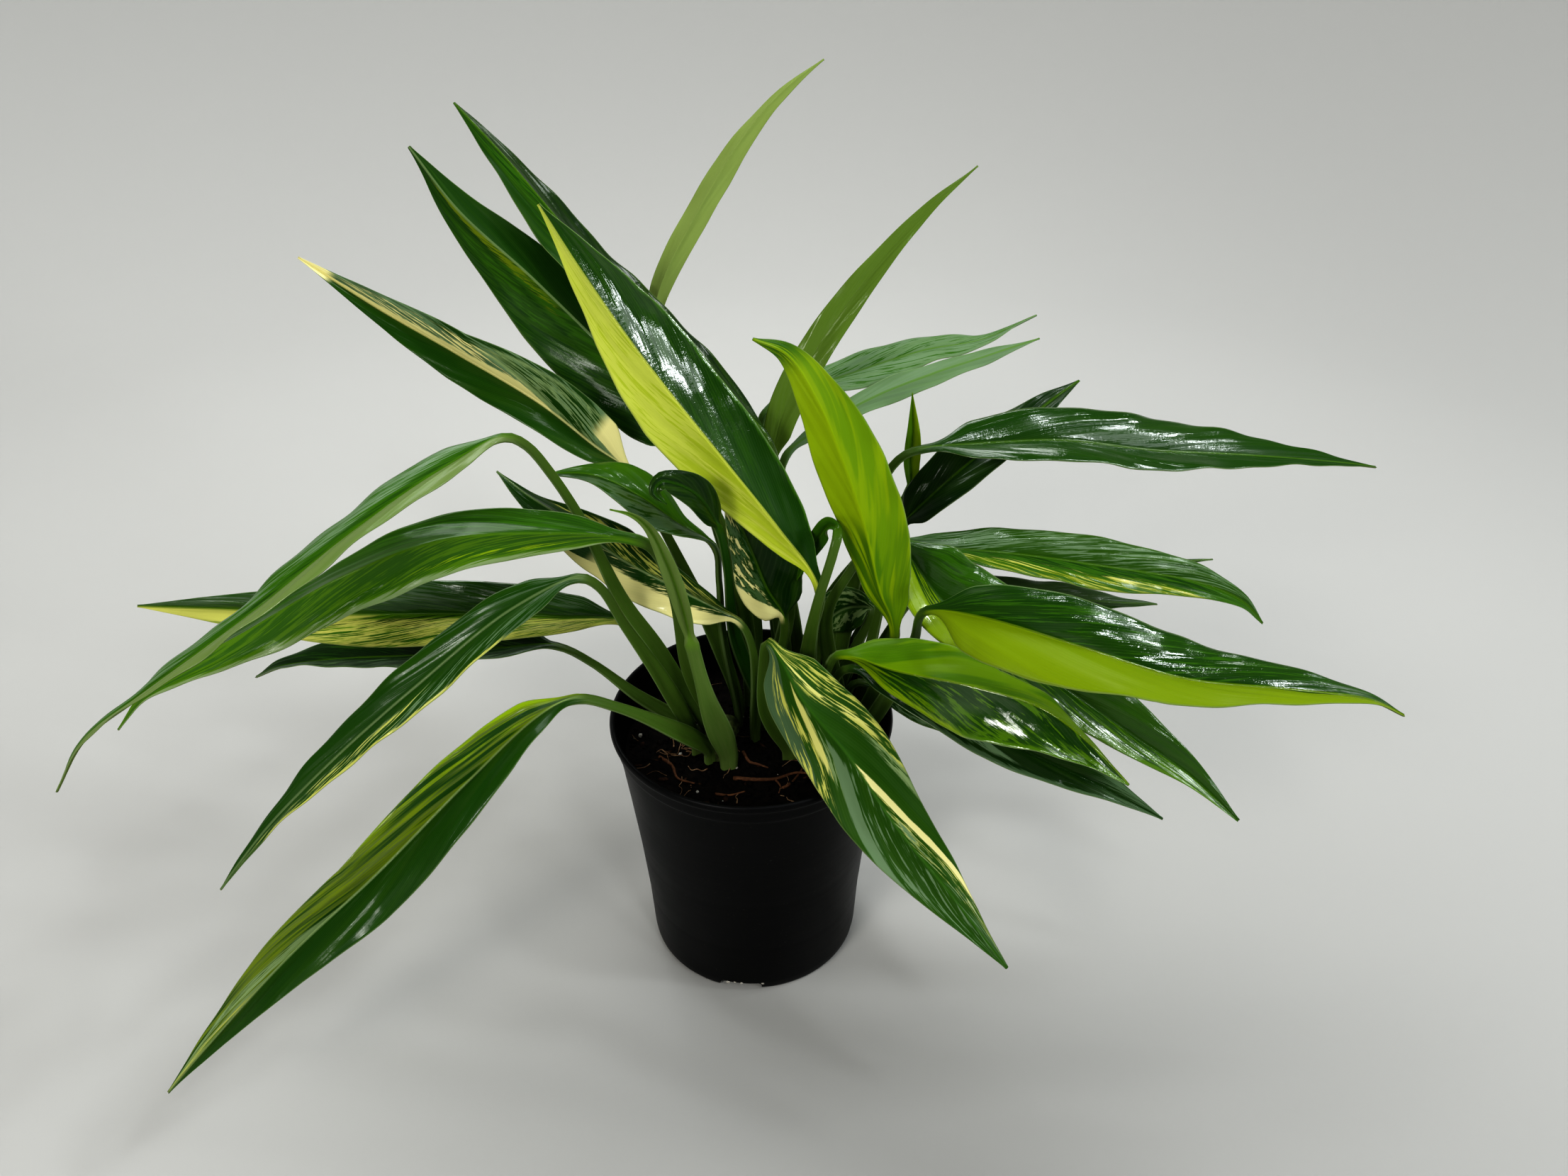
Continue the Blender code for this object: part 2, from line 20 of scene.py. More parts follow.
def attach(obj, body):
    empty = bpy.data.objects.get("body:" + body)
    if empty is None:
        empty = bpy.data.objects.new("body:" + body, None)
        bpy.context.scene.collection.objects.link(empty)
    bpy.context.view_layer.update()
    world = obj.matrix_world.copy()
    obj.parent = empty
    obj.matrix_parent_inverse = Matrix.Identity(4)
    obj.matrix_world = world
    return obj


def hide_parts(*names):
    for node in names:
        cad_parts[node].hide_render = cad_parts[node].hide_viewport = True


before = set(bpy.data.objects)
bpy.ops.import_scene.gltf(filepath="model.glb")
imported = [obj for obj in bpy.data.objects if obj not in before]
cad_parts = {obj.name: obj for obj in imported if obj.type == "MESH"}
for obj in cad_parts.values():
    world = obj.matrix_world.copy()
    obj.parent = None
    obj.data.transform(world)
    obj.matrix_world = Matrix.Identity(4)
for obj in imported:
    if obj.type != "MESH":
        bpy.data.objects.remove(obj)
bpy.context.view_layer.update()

MM = 0.001
ROOT = "root"

Tint = tuple[float, float, float]
Point = tuple[float, float, float]
Socket = bpy.types.NodeSocket

log = logging.getLogger("pothos")

# Leaf tints, as linear colours
DEEP: Tint = (0.006, 0.030, 0.002)
DARK: Tint = (0.014, 0.062, 0.003)
LEAF_GREEN: Tint = (0.024, 0.085, 0.004)
MID: Tint = (0.042, 0.135, 0.005)
FRESH: Tint = (0.100, 0.220, 0.005)
APPLE: Tint = (0.250, 0.370, 0.004)
LIME: Tint = (0.330, 0.470, 0.004)
BRIGHT: Tint = (0.690, 0.760, 0.130)
GOLDEN: Tint = (0.540, 0.540, 0.130)
BUTTER: Tint = (0.700, 0.680, 0.230)
LEMON: Tint = (0.540, 0.640, 0.050)
PEAR: Tint = (0.170, 0.300, 0.004)
KIWI: Tint = (0.195, 0.278, 0.004)
MOSS: Tint = (0.170, 0.235, 0.006)
SAGE: Tint = (0.180, 0.250, 0.080)
CREAM: Tint = (0.800, 0.740, 0.340)
PALE: Tint = (0.250, 0.340, 0.150)
# ASH and GREY also serve as painted sheen streaks on some leaves.
ASH: Tint = (0.160, 0.250, 0.130)
OLIVE: Tint = (0.120, 0.170, 0.030)
GREY: Tint = (0.080, 0.140, 0.065)
STALK: Tint = (0.085, 0.130, 0.025)
SHEATH: Tint = (0.150, 0.215, 0.060)

# Other tints
BLACK_PLASTIC: Tint = (0.0013, 0.0014, 0.0015)
WORN_PLASTIC: Tint = (0.0035, 0.0037, 0.0040)
DUST: Tint = (0.160, 0.150, 0.130)
BARK: Tint = (0.075, 0.036, 0.018)
ROOT_BROWN: Tint = (0.170, 0.080, 0.038)
PERLITE: Tint = (0.620, 0.600, 0.540)
PAPER: Tint = (0.600, 0.592, 0.566)
COOL: Tint = (0.930, 0.970, 1.000)
WARM: Tint = (1.000, 0.990, 0.960)

# How fast the side veins run forward: share of the blade's length from midrib to margin.
VEIN_REACH = 0.40
# Distance between side veins where they leave the midrib, in mm.
VEIN_PITCH = 5.5
# Noises along the side veins, fine, ridged and broad: size along the midrib in mm, changes
# from midrib to margin, and octaves.
VEIN_GRAINS = ((6.0, 3.4, 4.0), (11.0, 1.2, 1.0), (24.0, 1.0, 2.0))
# Depth of a leaf's small relief in metres, and the grains per metre of its cells and crinkles.
RELIEF_DEPTH = 0.0006
CELLS = 900.0
CRINKLES = 280.0
# How far apart the noises of two leaves lie, and those of a blade's two halves.
LEAF_APART = 3.7
HALVES_APART = 9.0

# Pleats across each half of a blade, their height in mm, and the half width from which they have it.
PLEATS = 2.4
PLEAT_HEIGHT = 0.26
WIDE_BLADE = 20.0
# Lengths of the two waves along a margin and their height, in mm.
LONG_WAVE = 63.0
SHORT_WAVE = 31.0
WAVE_HEIGHT = 0.9

STALK_HEIGHTS = (138, 146, 152)
MIX_TOP = 145
STALK_HALF_WIDTH = 2.4
# The stalk's oval, next to its half thickness, and where its wings are widest and end.
STALK_WIDTH, STALK_DEPTH = 1.20, 0.85
WING_PLACE, WING_REACH = -0.62, 0.36
# The blade's thickness at the midrib, and the share lost at the margin.
BLADE_THICKNESS = 0.7
MARGIN_THINNING = 0.45
# How far each half arches, as a share of its width.
ARCH = 0.10
# Height and half width of the midrib's ridge below and groove above, next to the stalk's thickness.
RIDGE = (0.55, 0.80)
GROOVE = (0.28, 0.45)
# Share of the blade over which the stalk's form turns into the blade's.
NECK = 0.10
# Steps between sections in mm on the stalk and on the blade, and the fewest of each.
STALK_STEP, STALK_SECTIONS = 5.0, 8
BLADE_STEP, BLADE_SECTIONS = 2.6, 36
# How much closer together the sections are at the blade's two ends.
CLOSER = 0.10
# A leaf with no turn looks this way, to the front and up.
FACING = np.array([0.0, -0.83, 0.56])
# How wide the blade is along its length, as shares of the full half width.
BLADE_PROFILE = (
    (0.00, 0.10), (0.03, 0.34), (0.08, 0.60), (0.16, 0.82), (0.27, 0.96), (0.38, 1.00), (0.50, 0.95),
    (0.62, 0.81), (0.74, 0.60), (0.85, 0.36), (0.93, 0.18), (0.98, 0.07), (1.00, 0.03),
)
# How thick the stalk is: -1 at the mix, 0 at the blade, 1 at the tip.
STALK_PROFILE = (
    (-1.00, 1.15), (-0.70, 1.36), (-0.50, 1.20), (-0.20, 0.90), (-0.05, 0.88), (0.00, 0.95), (0.15, 0.70),
    (1.00, 0.30),
)
# Places of a section's points across the blade, closer together near the midrib.
HALF_POINTS = 16
EVEN = np.linspace(-1, 1, 2 * HALF_POINTS + 1)
ACROSS = np.sign(EVEN) * np.abs(EVEN) ** 1.15
OUT = np.abs(ACROSS)


class Side(Enum):
    """Half of a blade, looking from its base to its tip."""

    LEFT = 0
    RIGHT = 1
    BOTH = 2


class Gloss(Enum):
    """How a blade shines: its roughness, how much its wrinkles break the light, and its wax coat."""

    WET = (0.26, 1.0, 1.0)
    GLOSSY = (0.32, 0.8, 0.6)
    SATIN = (0.38, 0.6, 0.2)
    MATT = (0.50, 0.4, 0.0)


@dataclass(frozen=True)
class Streak:
    """A patch of another tint, bounded by two veins and two distances from the midrib.

    Attributes:
        side: half of the blade that it lies on.
        veins: where the two veins leave the midrib, as shares of the blade's length.
        across: from and to, 0 at the midrib and 1 at the margin.
        tint: its colour.
        ragged: 0 for a clean patch, 1 for one broken into fine streaks.
        along: where on the blade it may lie, 0 at the base and 1 at the tip.
        blotchy: broken into broad blotches instead of fine streaks.
    """

    side: Side
    veins: tuple[float, float]
    across: tuple[float, float]
    tint: Tint
    ragged: float = 0.4
    along: tuple[float, float] = (-0.2, 1.2)
    blotchy: bool = False


class ShaderPen:
    """Adds and links the nodes of one material with short calls."""

    def __init__(self, name: str) -> None:
        """Start a material of this name with one Principled shader."""
        self.material = bpy.data.materials.new(name)
        self.material.use_nodes = True
        self.tree = self.material.node_tree
        self.shader = self.tree.nodes["Principled BSDF"]

    def node(self, kind: str, inputs: dict, **settings: object) -> bpy.types.Node:
        """Add a node.

        Args:
            kind: the node's type name in Blender.
            inputs: values or sockets, by the name or number of the input.
            **settings: properties of the node.

        Returns:
            The new node.
        """
        made = self.tree.nodes.new(kind)
        for key, value in settings.items():
            setattr(made, key, value)
        for key, value in inputs.items():
            self.plug(made.inputs[key], value)
        return made

    def plug(self, socket: Socket, value: object) -> None:
        """Link another node's output to an input, or set the input to a number, colour or vector."""
        if isinstance(value, Socket):
            self.tree.links.new(value, socket)
        elif isinstance(value, tuple) and socket.type == "RGBA":
            socket.default_value = (*value[:3], 1.0)
        else:
            socket.default_value = value

    def attribute(self, name: str) -> Socket:
        """Value that the mesh holds at each point under this name."""
        return self.node("ShaderNodeAttribute", {}, attribute_name=name).outputs["Fac"]

    def place(self) -> Socket:
        """Place on the object in metres."""
        return self.node("ShaderNodeTexCoord", {}).outputs["Object"]

    def math(self, operation: str, *values: object) -> Socket:
        """One sum of numbers or sockets."""
        return self.node("ShaderNodeMath", dict(enumerate(values)), operation=operation).outputs[0]

    def times(self, first: object, second: object) -> Socket:
        """Product of two numbers or sockets."""
        return self.math("MULTIPLY", first, second)

    def line(self, value: object, slope: object, start: object) -> Socket:
        """A value times a slope, plus a start."""
        return self.math("MULTIPLY_ADD", value, slope, start)

    def rest(self, share: object) -> Socket:
        """What a share leaves of one."""
        return self.math("SUBTRACT", 1.0, share)

    def vector(self, x: object, y: object, z: object) -> Socket:
        """Three numbers or sockets as one vector."""
        return self.node("ShaderNodeCombineXYZ", {0: x, 1: y, 2: z}).outputs[0]

    def parts(self, vector: object) -> tuple:
        """The three numbers of a vector."""
        return tuple(self.node("ShaderNodeSeparateXYZ", {0: vector}).outputs)

    def scaled(self, vector: object, scale: Point) -> Socket:
        """A vector scaled by a different amount along each axis."""
        return self.node("ShaderNodeVectorMath", {0: vector, 1: scale}, operation="MULTIPLY").outputs[0]

    def step(self, value: object, low: object, high: object) -> Socket:
        """Smooth rise from 0 at low to 1 at high."""
        inputs = {"Value": value, "From Min": low, "From Max": high}
        return self.node("ShaderNodeMapRange", inputs, interpolation_type="SMOOTHSTEP").outputs[0]

    def span(self, value: object, low: float, high: float, soft: float) -> Socket:
        """One between low and high, with soft ends."""
        return self.times(self.step(value, low - soft, low + soft), self.step(value, high + soft, high - soft))

    def noise(self, vector: object, scale: float, detail: float = 3.0, roughness: float = 0.55) -> Socket:
        """Cloudy noise of 0 to 1 at a place."""
        inputs = {"Vector": vector, "Scale": scale, "Detail": detail, "Roughness": roughness}
        return self.node("ShaderNodeTexNoise", inputs).outputs["Fac"]

    def blend(self, share: object, first: object, second: object) -> Socket:
        """Mix of two colours: first at 0, second at 1."""
        return self.node("ShaderNodeMix", {0: share, 6: first, 7: second}, data_type="RGBA").outputs[2]

    def wash(self, colour: object, share: object, amount: float, tint: object, strength: float = 1.0) -> Socket:
        """Lay a tint over a colour.

        Args:
            colour: the colour below.
            share: where the tint lies, 0 to 1.
            amount: how much of it shows where the share is 1.
            tint: the tint.
            strength: how far it replaces the colour below where all of it shows.

        Returns:
            The new colour.
        """
        full = tint if strength == 1.0 else self.blend(strength, colour, tint)
        return self.blend(self.times(share, amount), colour, full)

    def bump(self, height: object, depth: float, strength: float = 1.0, layer: str = "Normal") -> None:
        """Raise the surface by a height of 0 to 1.

        Args:
            height: socket with the height.
            depth: metres between 0 and 1.
            strength: share of the effect.
            layer: the shader's input that is bent.
        """
        inputs = {"Height": height, "Distance": depth, "Strength": strength}
        self.plug(self.shader.inputs[layer], self.node("ShaderNodeBump", inputs).outputs[0])

    def finish(self, colour: object, roughness: object, **fixed: float) -> bpy.types.Material:
        """Set the shader's colour, roughness and other inputs.

        Args:
            colour: colour or socket.
            roughness: number or socket.
            **fixed: other inputs, with _ for a space.

        Returns:
            The material.
        """
        for key, value in {"Base_Color": colour, "Roughness": roughness, **fixed}.items():
            self.plug(self.shader.inputs[key.replace("_", " ")], value)
        return self.material


class LeafPen(ShaderPen):
    """Pen for a leaf, with sockets that say where each point lies on it.

    Attributes:
        along: -1 at the stalk's foot, 0 at the blade's base and 1 at its tip.
        across: -1 at the left margin, 0 at the midrib and 1 at the right margin.
        out: distance from the midrib, 0 to 1.
        right: 1 on the right half and 0 on the left.
        vein: where the side vein through the point leaves the midrib.
        lines: the fine side veins, 1 on a vein and 0 between.
        fine, ridges, broad: noises drawn out along the side veins.
    """

    def __init__(self, name: str, length: float, seed: float) -> None:
        """Start a leaf's material.

        Args:
            name: the leaf's name.
            length: length of the blade in mm.
            seed: number that sets this leaf's noise apart from the others'.
        """
        super().__init__(name)
        self.along = self.attribute("along")
        self.across = self.attribute("across")
        self.out = self.math("ABSOLUTE", self.across)
        self.right = self.step(self.across, -0.02, 0.02)
        self.vein = self.math("SUBTRACT", self.along, self.times(self.out, VEIN_REACH))
        lane = self.line(self.right, HALVES_APART, seed)
        grains = []
        for pitch, bands, octaves in VEIN_GRAINS:
            place = self.vector(self.times(self.vein, length / pitch), self.times(self.out, bands), lane)
            grains.append(self.noise(place, 1.0, octaves, 0.6))
        self.fine, self.ridges, self.broad = grains
        wave = self.math("COSINE", self.times(self.vein, math.tau * length / VEIN_PITCH))
        crest = self.math("POWER", self.line(wave, 0.5, 0.5), 6.0)
        self.lines = self.times(crest, self.step(self.out, 0.02, 0.12))

    def on_side(self, share: object, side: Side) -> Socket:
        """A share kept on one half of the blade only, or on both."""
        if side is Side.BOTH:
            return share
        return self.times(share, self.right if side is Side.RIGHT else self.rest(self.right))

    def mask(self, streak: Streak) -> Socket:
        """Share of a streak's tint at each point, 0 to 1."""
        grain = self.broad if streak.blotchy else self.fine
        ragged = streak.ragged
        wobble = 0.05 + 0.10 * ragged
        centred = self.math("SUBTRACT", grain, 0.5)
        share = self.span(self.line(centred, wobble, self.vein), *streak.veins, 0.004 + 0.02 * ragged)
        width = self.span(self.line(centred, 4.0 * wobble, self.out), *streak.across, 0.02 + 0.05 * ragged)
        share = self.times(share, width)
        share = self.times(share, self.span(self.along, *streak.along, 0.01 + 0.08 * ragged))
        if ragged > 0.3:
            gate = 0.30 + 0.24 * ragged
            soft = 0.07 if streak.blotchy else 0.035
            share = self.times(share, self.step(grain, gate - soft, gate + soft))
        return self.on_side(share, streak.side)


@dataclass(frozen=True)
class LeafFinish:
    """Colours and shine of one leaf.

    Attributes:
        left: tint of the upper face's left half.
        right: tint of the upper face's right half.
        gloss: shine of the upper face.
        streaks: patches of other tints, on some leaves grey ones that are painted sheen.
        under: tint of the lower face.
        midrib: tint of the midrib on the upper face.
        stalk: tint of the stalk.
        mottle: how much the tint varies along the veins.
        wax_side: half of the blade with a shining wax coat.
        wax_along: where on the blade the wax coat lies, 0 at the base and 1 at the tip.
        slot: name of its material slot.
    """

    left: Tint = DARK
    right: Tint = DARK
    gloss: Gloss = Gloss.GLOSSY
    streaks: tuple[Streak, ...] = ()
    under: Tint = OLIVE
    midrib: Tint = FRESH
    stalk: Tint = STALK
    mottle: float = 0.4
    wax_side: Side = Side.BOTH
    wax_along: tuple[float, float] = (-0.2, 1.2)
    slot: str = "leaf_dark"

    def material(self, name: str, length: float, seed: float) -> bpy.types.Material:
        """Make the material of one leaf.

        Args:
            name: the leaf's name.
            length: length of the blade in mm.
            seed: number that sets this leaf's noise apart from the others'.

        Returns:
            The material.
        """
        pen = LeafPen(name, length, seed)
        upper = pen.attribute("upper")
        joint = pen.step(pen.along, -0.05, 0.035)
        blade = pen.blend(upper, self.lower_face(pen), self.upper_face(pen))
        colour = pen.blend(joint, self.stem(pen, seed), blade)
        base_rough, wrinkle, wax = self.gloss.value
        shine = pen.on_side(pen.span(pen.along, *self.wax_along, 0.12), self.wax_side)
        rough = pen.line(pen.broad, 0.10, base_rough - 0.05)
        rough = pen.line(pen.rest(shine), 0.10, rough)
        rough = pen.line(pen.rest(upper), 0.24, rough)
        rough = pen.math("MAXIMUM", rough, pen.times(pen.rest(joint), 0.40))
        height = pen.line(pen.fine, 0.07, pen.times(pen.lines, -0.02))
        for grain, share in ((pen.ridges, 0.24), (pen.broad, 0.28), (pen.noise(pen.place(), CELLS, 2.0), 0.01)):
            height = pen.line(grain, share, height)
        pen.bump(height, RELIEF_DEPTH, wrinkle)
        crinkles = pen.noise(pen.place(), CRINKLES, 4.0, 0.6)
        pen.bump(pen.line(crinkles, 0.26, height), RELIEF_DEPTH, wrinkle, "Coat Normal")
        return pen.finish(colour, rough, Specular_IOR_Level=0.11, Coat_Roughness=0.04, Coat_IOR=1.6,
                          Coat_Weight=pen.times(shine, wax))

    def upper_face(self, pen: LeafPen) -> Socket:
        """Colour of the blade's upper face: its two halves, streaks, side veins, midrib and margin."""
        colour = pen.blend(pen.right, self.left, self.right)
        colour = pen.wash(colour, pen.step(pen.broad, 0.35, 0.75), self.mottle, FRESH, 0.55)
        colour = pen.wash(colour, pen.step(pen.fine, 0.45, 0.25), self.mottle * 0.6, DEEP, 0.7)
        for streak in self.streaks:
            colour = pen.blend(pen.mask(streak), colour, streak.tint)
        colour = pen.wash(colour, pen.lines, 0.07, PALE, 0.6)
        colour = pen.wash(colour, pen.step(pen.attribute("off"), 1.1, 0.4), 0.55, self.midrib)
        return pen.wash(colour, pen.step(pen.out, 0.955, 1.0), 0.5, PALE)

    def lower_face(self, pen: LeafPen) -> Socket:
        """Colour of the blade's lower face: paler, with darker side veins."""
        colour = pen.wash(self.under, pen.fine, 0.5, PALE, 0.5)
        return pen.wash(colour, pen.lines, 0.25, pen.blend(0.5, self.under, DARK))

    def stem(self, pen: LeafPen, seed: float) -> Socket:
        """Colour of the stalk: lengthwise streaks, pale edges, and paler still at the mix."""
        ribs = pen.noise(pen.vector(pen.times(pen.across, 6.0), pen.times(pen.along, 3.0), seed), 1.0, 2.0)
        colour = pen.wash(self.stalk, ribs, 1.0, MID, 0.6)
        colour = pen.wash(colour, pen.step(pen.out, 0.72, 0.96), 0.45, PALE)
        return pen.wash(colour, pen.step(pen.along, -0.72, -1.0), 0.55, SHEATH)


def unit(v: np.ndarray) -> np.ndarray:
    """Vectors scaled to length one."""
    return v / np.linalg.norm(v, axis=-1, keepdims=True)


def eased(share: float) -> float:
    """Smooth rise from 0 to 1, clipped outside."""
    share = min(max(share, 0.0), 1.0)
    return share * share * (3 - 2 * share)


def straight_blend(a: np.ndarray, b: np.ndarray, ta: float, tb: float, u: np.ndarray) -> np.ndarray:
    """Straight blend between a at ta and b at tb."""
    return ((tb - u) * a + (u - ta) * b) / (tb - ta)


def smooth_line(points: list, per_span: int) -> np.ndarray:
    """Centripetal Catmull-Rom curve through points.

    Args:
        points: the points.
        per_span: samples between two points.

    Returns:
        The curve's samples, one a row.
    """
    knots = np.asarray(points, float)
    knots = np.vstack([2 * knots[0] - knots[1], knots, 2 * knots[-1] - knots[-2]])
    steps = np.sqrt(np.linalg.norm(np.diff(knots, axis=0), axis=1))
    t = np.concatenate([[0], np.cumsum(steps)])
    parts = []
    for i in range(1, len(knots) - 2):
        u = np.linspace(t[i], t[i + 1], per_span, endpoint=False)[:, None]
        pairs = [straight_blend(knots[k], knots[k + 1], t[k], t[k + 1], u) for k in (i - 1, i, i + 1)]
        left = straight_blend(pairs[0], pairs[1], t[i - 1], t[i + 1], u)
        right = straight_blend(pairs[1], pairs[2], t[i], t[i + 2], u)
        parts.append(straight_blend(left, right, t[i], t[i + 1], u))
    parts.append(knots[-2][None])
    return np.vstack(parts)


def smooth_profile(x: np.ndarray, table: tuple) -> np.ndarray:
    """Values of a table of pairs at x, rounded where its straight runs meet."""
    offsets = np.array([-1.5, -0.75, 0.0, 0.75, 1.5]) * 0.012
    weights = np.array([1.0, 2.0, 3.0, 2.0, 1.0]) / 9.0
    return sum(w * np.interp(x + d, *zip(*table)) for w, d in zip(weights, offsets))


def ring(radius: float, height: float, sides: int) -> list[Point]:
    """Points round the upright axis."""
    angles = (math.tau * k / sides for k in range(sides))
    return [(radius * math.cos(angle), radius * math.sin(angle), height) for angle in angles]


def turned(rings: list[list[Point]], first: float, last: float | None = None) -> tuple[list, list]:
    """Skin over rings of points about the upright axis.

    Args:
        rings: the rings, with the same number of points in each.
        first: height at which the first ring is closed on the axis.
        last: height at which the last ring is closed, or None to leave it open.

    Returns:
        Points and faces.
    """
    sides = len(rings[0])
    points = [(0.0, 0.0, first)] + [point for row in rings for point in row]
    end = 1 + (len(rings) - 1) * sides
    faces = []
    for k in range(sides):
        after = (k + 1) % sides
        faces.append((0, 1 + k, 1 + after))
        for a in range(1, end, sides):
            faces.append((a + k, a + sides + k, a + sides + after, a + after))
        if last is not None:
            faces.append((end + k, len(points), end + after))
    if last is not None:
        points.append((0.0, 0.0, last))
    return points, faces


def tube_faces(rows: int, sides: int, start: int = 0) -> list[tuple[int, ...]]:
    """Faces of a closed tube.

    Args:
        rows: number of its sections.
        sides: points in each section.
        start: number of the first point.

    Returns:
        Quads between the sections, and a cap at each end.
    """
    faces = []
    for row in range(rows - 1):
        for k in range(sides):
            a, b = start + row * sides + k, start + row * sides + (k + 1) % sides
            faces.append((a, b, b + sides, a + sides))
    faces.append(tuple(start + k for k in reversed(range(sides))))
    faces.append(tuple(start + (rows - 1) * sides + k for k in range(sides)))
    return faces


def joined(bodies: list[tuple[np.ndarray, list]]) -> tuple[np.ndarray, list]:
    """Points and faces of several bodies as those of one."""
    faces, start = [], 0
    for points, sides in bodies:
        faces += [tuple(start + i for i in side) for side in sides]
        start += len(points)
    return np.vstack([points for points, _ in bodies]), faces


def add_object(name: str, data: bpy.types.ID) -> bpy.types.Object:
    """Add an object with this mesh, light or camera to the scene."""
    made = bpy.data.objects.new(name, data)
    bpy.context.scene.collection.objects.link(made)
    return made


def new_mesh(name: str, points: list, faces: list, material: bpy.types.Material) -> bpy.types.Mesh:
    """Smooth mesh with one material."""
    mesh = bpy.data.meshes.new(name)
    mesh.from_pydata(points, [], faces)
    mesh.materials.append(material)
    mesh.shade_smooth()
    mesh.update()
    return mesh


def add_piece(name: str, points: np.ndarray, faces: list, material: bpy.types.Material,
              slot: str) -> bpy.types.Object:
    """Add a piece that rides on the plant.

    Args:
        name: the piece's name.
        points: places in mm.
        faces: corner numbers of each face.
        material: its finish.
        slot: material slot; not used.

    Returns:
        The piece.
    """
    piece = add_object(name, new_mesh(name, (np.asarray(points) * MM).tolist(), faces, material))
    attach(piece, ROOT)
    return piece


@dataclass
class Leaf:
    """One leaf: a stalk that stands in the mix, and a long folded blade.

    Attributes:
        root: where the stalk stands in the mix, x and y.
        stalk: points that the stalk passes.
        blade: points along the midrib, from the blade's base to its tip.
        half: half of the blade's greatest width.
        turn: degrees that the blade turns about its midrib, at base, middle and tip.
        fold: degrees that each half is raised from flat.
        belly: above 1 moves the widest place to the tip.
        skew: how much wider the right half is than the left.
        stem: half thickness of the stalk.
    """

    root: tuple[float, float]
    stalk: list[Point]
    blade: list[Point]
    half: float
    turn: tuple[float, float, float]
    fold: float
    belly: float = 1.0
    skew: float = 0.0
    stem: float = STALK_HALF_WIDTH

    def stations(self) -> tuple[np.ndarray, np.ndarray, np.ndarray, float]:
        """Section places along the leaf.

        Returns:
            Places, directions, the parameter from -1 at the mix to 1 at the tip,
            and the blade's length in mm.
        """
        stalk = [(*self.root, z) for z in STALK_HEIGHTS] + list(self.stalk)
        per_span = 24
        line = smooth_line(stalk + list(self.blade), per_span)
        lengths = np.concatenate([[0], np.cumsum(np.linalg.norm(np.diff(line, axis=0), axis=1))])
        stalk_length = lengths[len(stalk) * per_span]
        blade_length = lengths[-1] - stalk_length
        count = max(STALK_SECTIONS, round(stalk_length / STALK_STEP))
        lower = np.linspace(0, stalk_length, count, endpoint=False)
        share = np.linspace(0, 1, max(BLADE_SECTIONS, round(blade_length / BLADE_STEP)))
        share = share - CLOSER * np.sin(math.tau * share) / math.tau
        wanted = np.concatenate([lower, stalk_length + share * blade_length])
        places = self.at_length(line, lengths, wanted)
        directions = unit(self.at_length(unit(np.gradient(line, axis=0)), lengths, wanted))
        t = np.concatenate([lower / stalk_length - 1, share])
        return places, directions, t, blade_length

    def at_length(self, line: np.ndarray, lengths: np.ndarray, wanted: np.ndarray) -> np.ndarray:
        """Values of a sampled line at the wanted distances along it."""
        return np.stack([np.interp(wanted, lengths, line[:, k]) for k in range(3)], -1)

    def relief(self, t: float, length: float, phase: float) -> np.ndarray:
        """Height of the pleats and of the margin's waves across one section.

        Args:
            t: place along the blade, 0 to 1.
            length: length of the blade in mm.
            phase: angle that sets this leaf apart from the others.

        Returns:
            Heights in mm.
        """
        ends = math.sin(math.pi * min(max(t, 0.0), 1.0)) ** 0.6
        run = math.tau * PLEATS * (t / VEIN_REACH - OUT)
        lean = np.where(ACROSS > 0, 0.9, -0.4)
        pleat = np.cos(run + phase + lean) + 0.5 * np.cos(1.6 * run + 2.1 * phase)
        pleat = PLEAT_HEIGHT * min(1.0, self.half / WIDE_BLADE) * pleat * np.sin(math.pi * OUT) ** 0.8
        wave = np.sin(math.tau * t * length / LONG_WAVE + phase + lean * 2)
        wave = wave + 0.6 * np.sin(math.tau * t * length / SHORT_WAVE + 2.7 * phase - lean)
        return ends * (pleat + WAVE_HEIGHT * wave * OUT ** 2.4)

    def section(self, t: float, length: float, stem: float, half: float, phase: float) -> np.ndarray:
        """Points round one section: along the upper face, then back along the lower.

        Args:
            t: place along the leaf, -1 to 1.
            length: length of the blade in mm.
            stem: half thickness of the stalk here.
            half: half width of the blade here.
            phase: angle that sets this leaf apart.

        Returns:
            Across and up offsets in mm, one point a row.
        """
        fold = math.radians(self.fold)
        width = half * np.where(ACROSS > 0, 1 + self.skew, 1 - self.skew)
        blade_x = width * ACROSS * math.cos(fold)
        arch = math.copysign(ARCH, self.fold) * width * 4 * OUT * (1 - OUT)
        lift = width * OUT * math.sin(fold) + arch + self.relief(t, length, phase)
        thick = BLADE_THICKNESS * (1 - MARGIN_THINNING * OUT ** 2)
        ridge = RIDGE[0] * stem * np.exp(-(blade_x / max(RIDGE[1] * stem, 0.5)) ** 2)
        groove = GROOVE[0] * stem * np.exp(-(blade_x / max(GROOVE[1] * stem, 0.35)) ** 2)
        blade = (lift + thick / 2 - groove, lift - thick / 2 - ridge)
        wing = eased(1 - abs(t - WING_PLACE) / WING_REACH)
        angle = np.radians(90 - 82 * ACROSS)
        stalk_x = STALK_WIDTH * stem * (1 + 0.30 * wing) * np.cos(angle)
        channel = (0.20 + 0.35 * wing) * stem * np.exp(-(ACROSS / 0.42) ** 2)
        rise = 0.30 * wing * stem * OUT ** 4
        depth = STALK_DEPTH * stem * np.sin(angle)
        stalk = (depth - channel + rise, rise - depth)
        blend = eased(t / NECK)
        x = stalk_x + (blade_x - stalk_x) * blend
        upper, lower = (np.stack([x, low + (high - low) * blend], -1) for low, high in zip(stalk, blade))
        return np.vstack([upper, lower[::-1]])

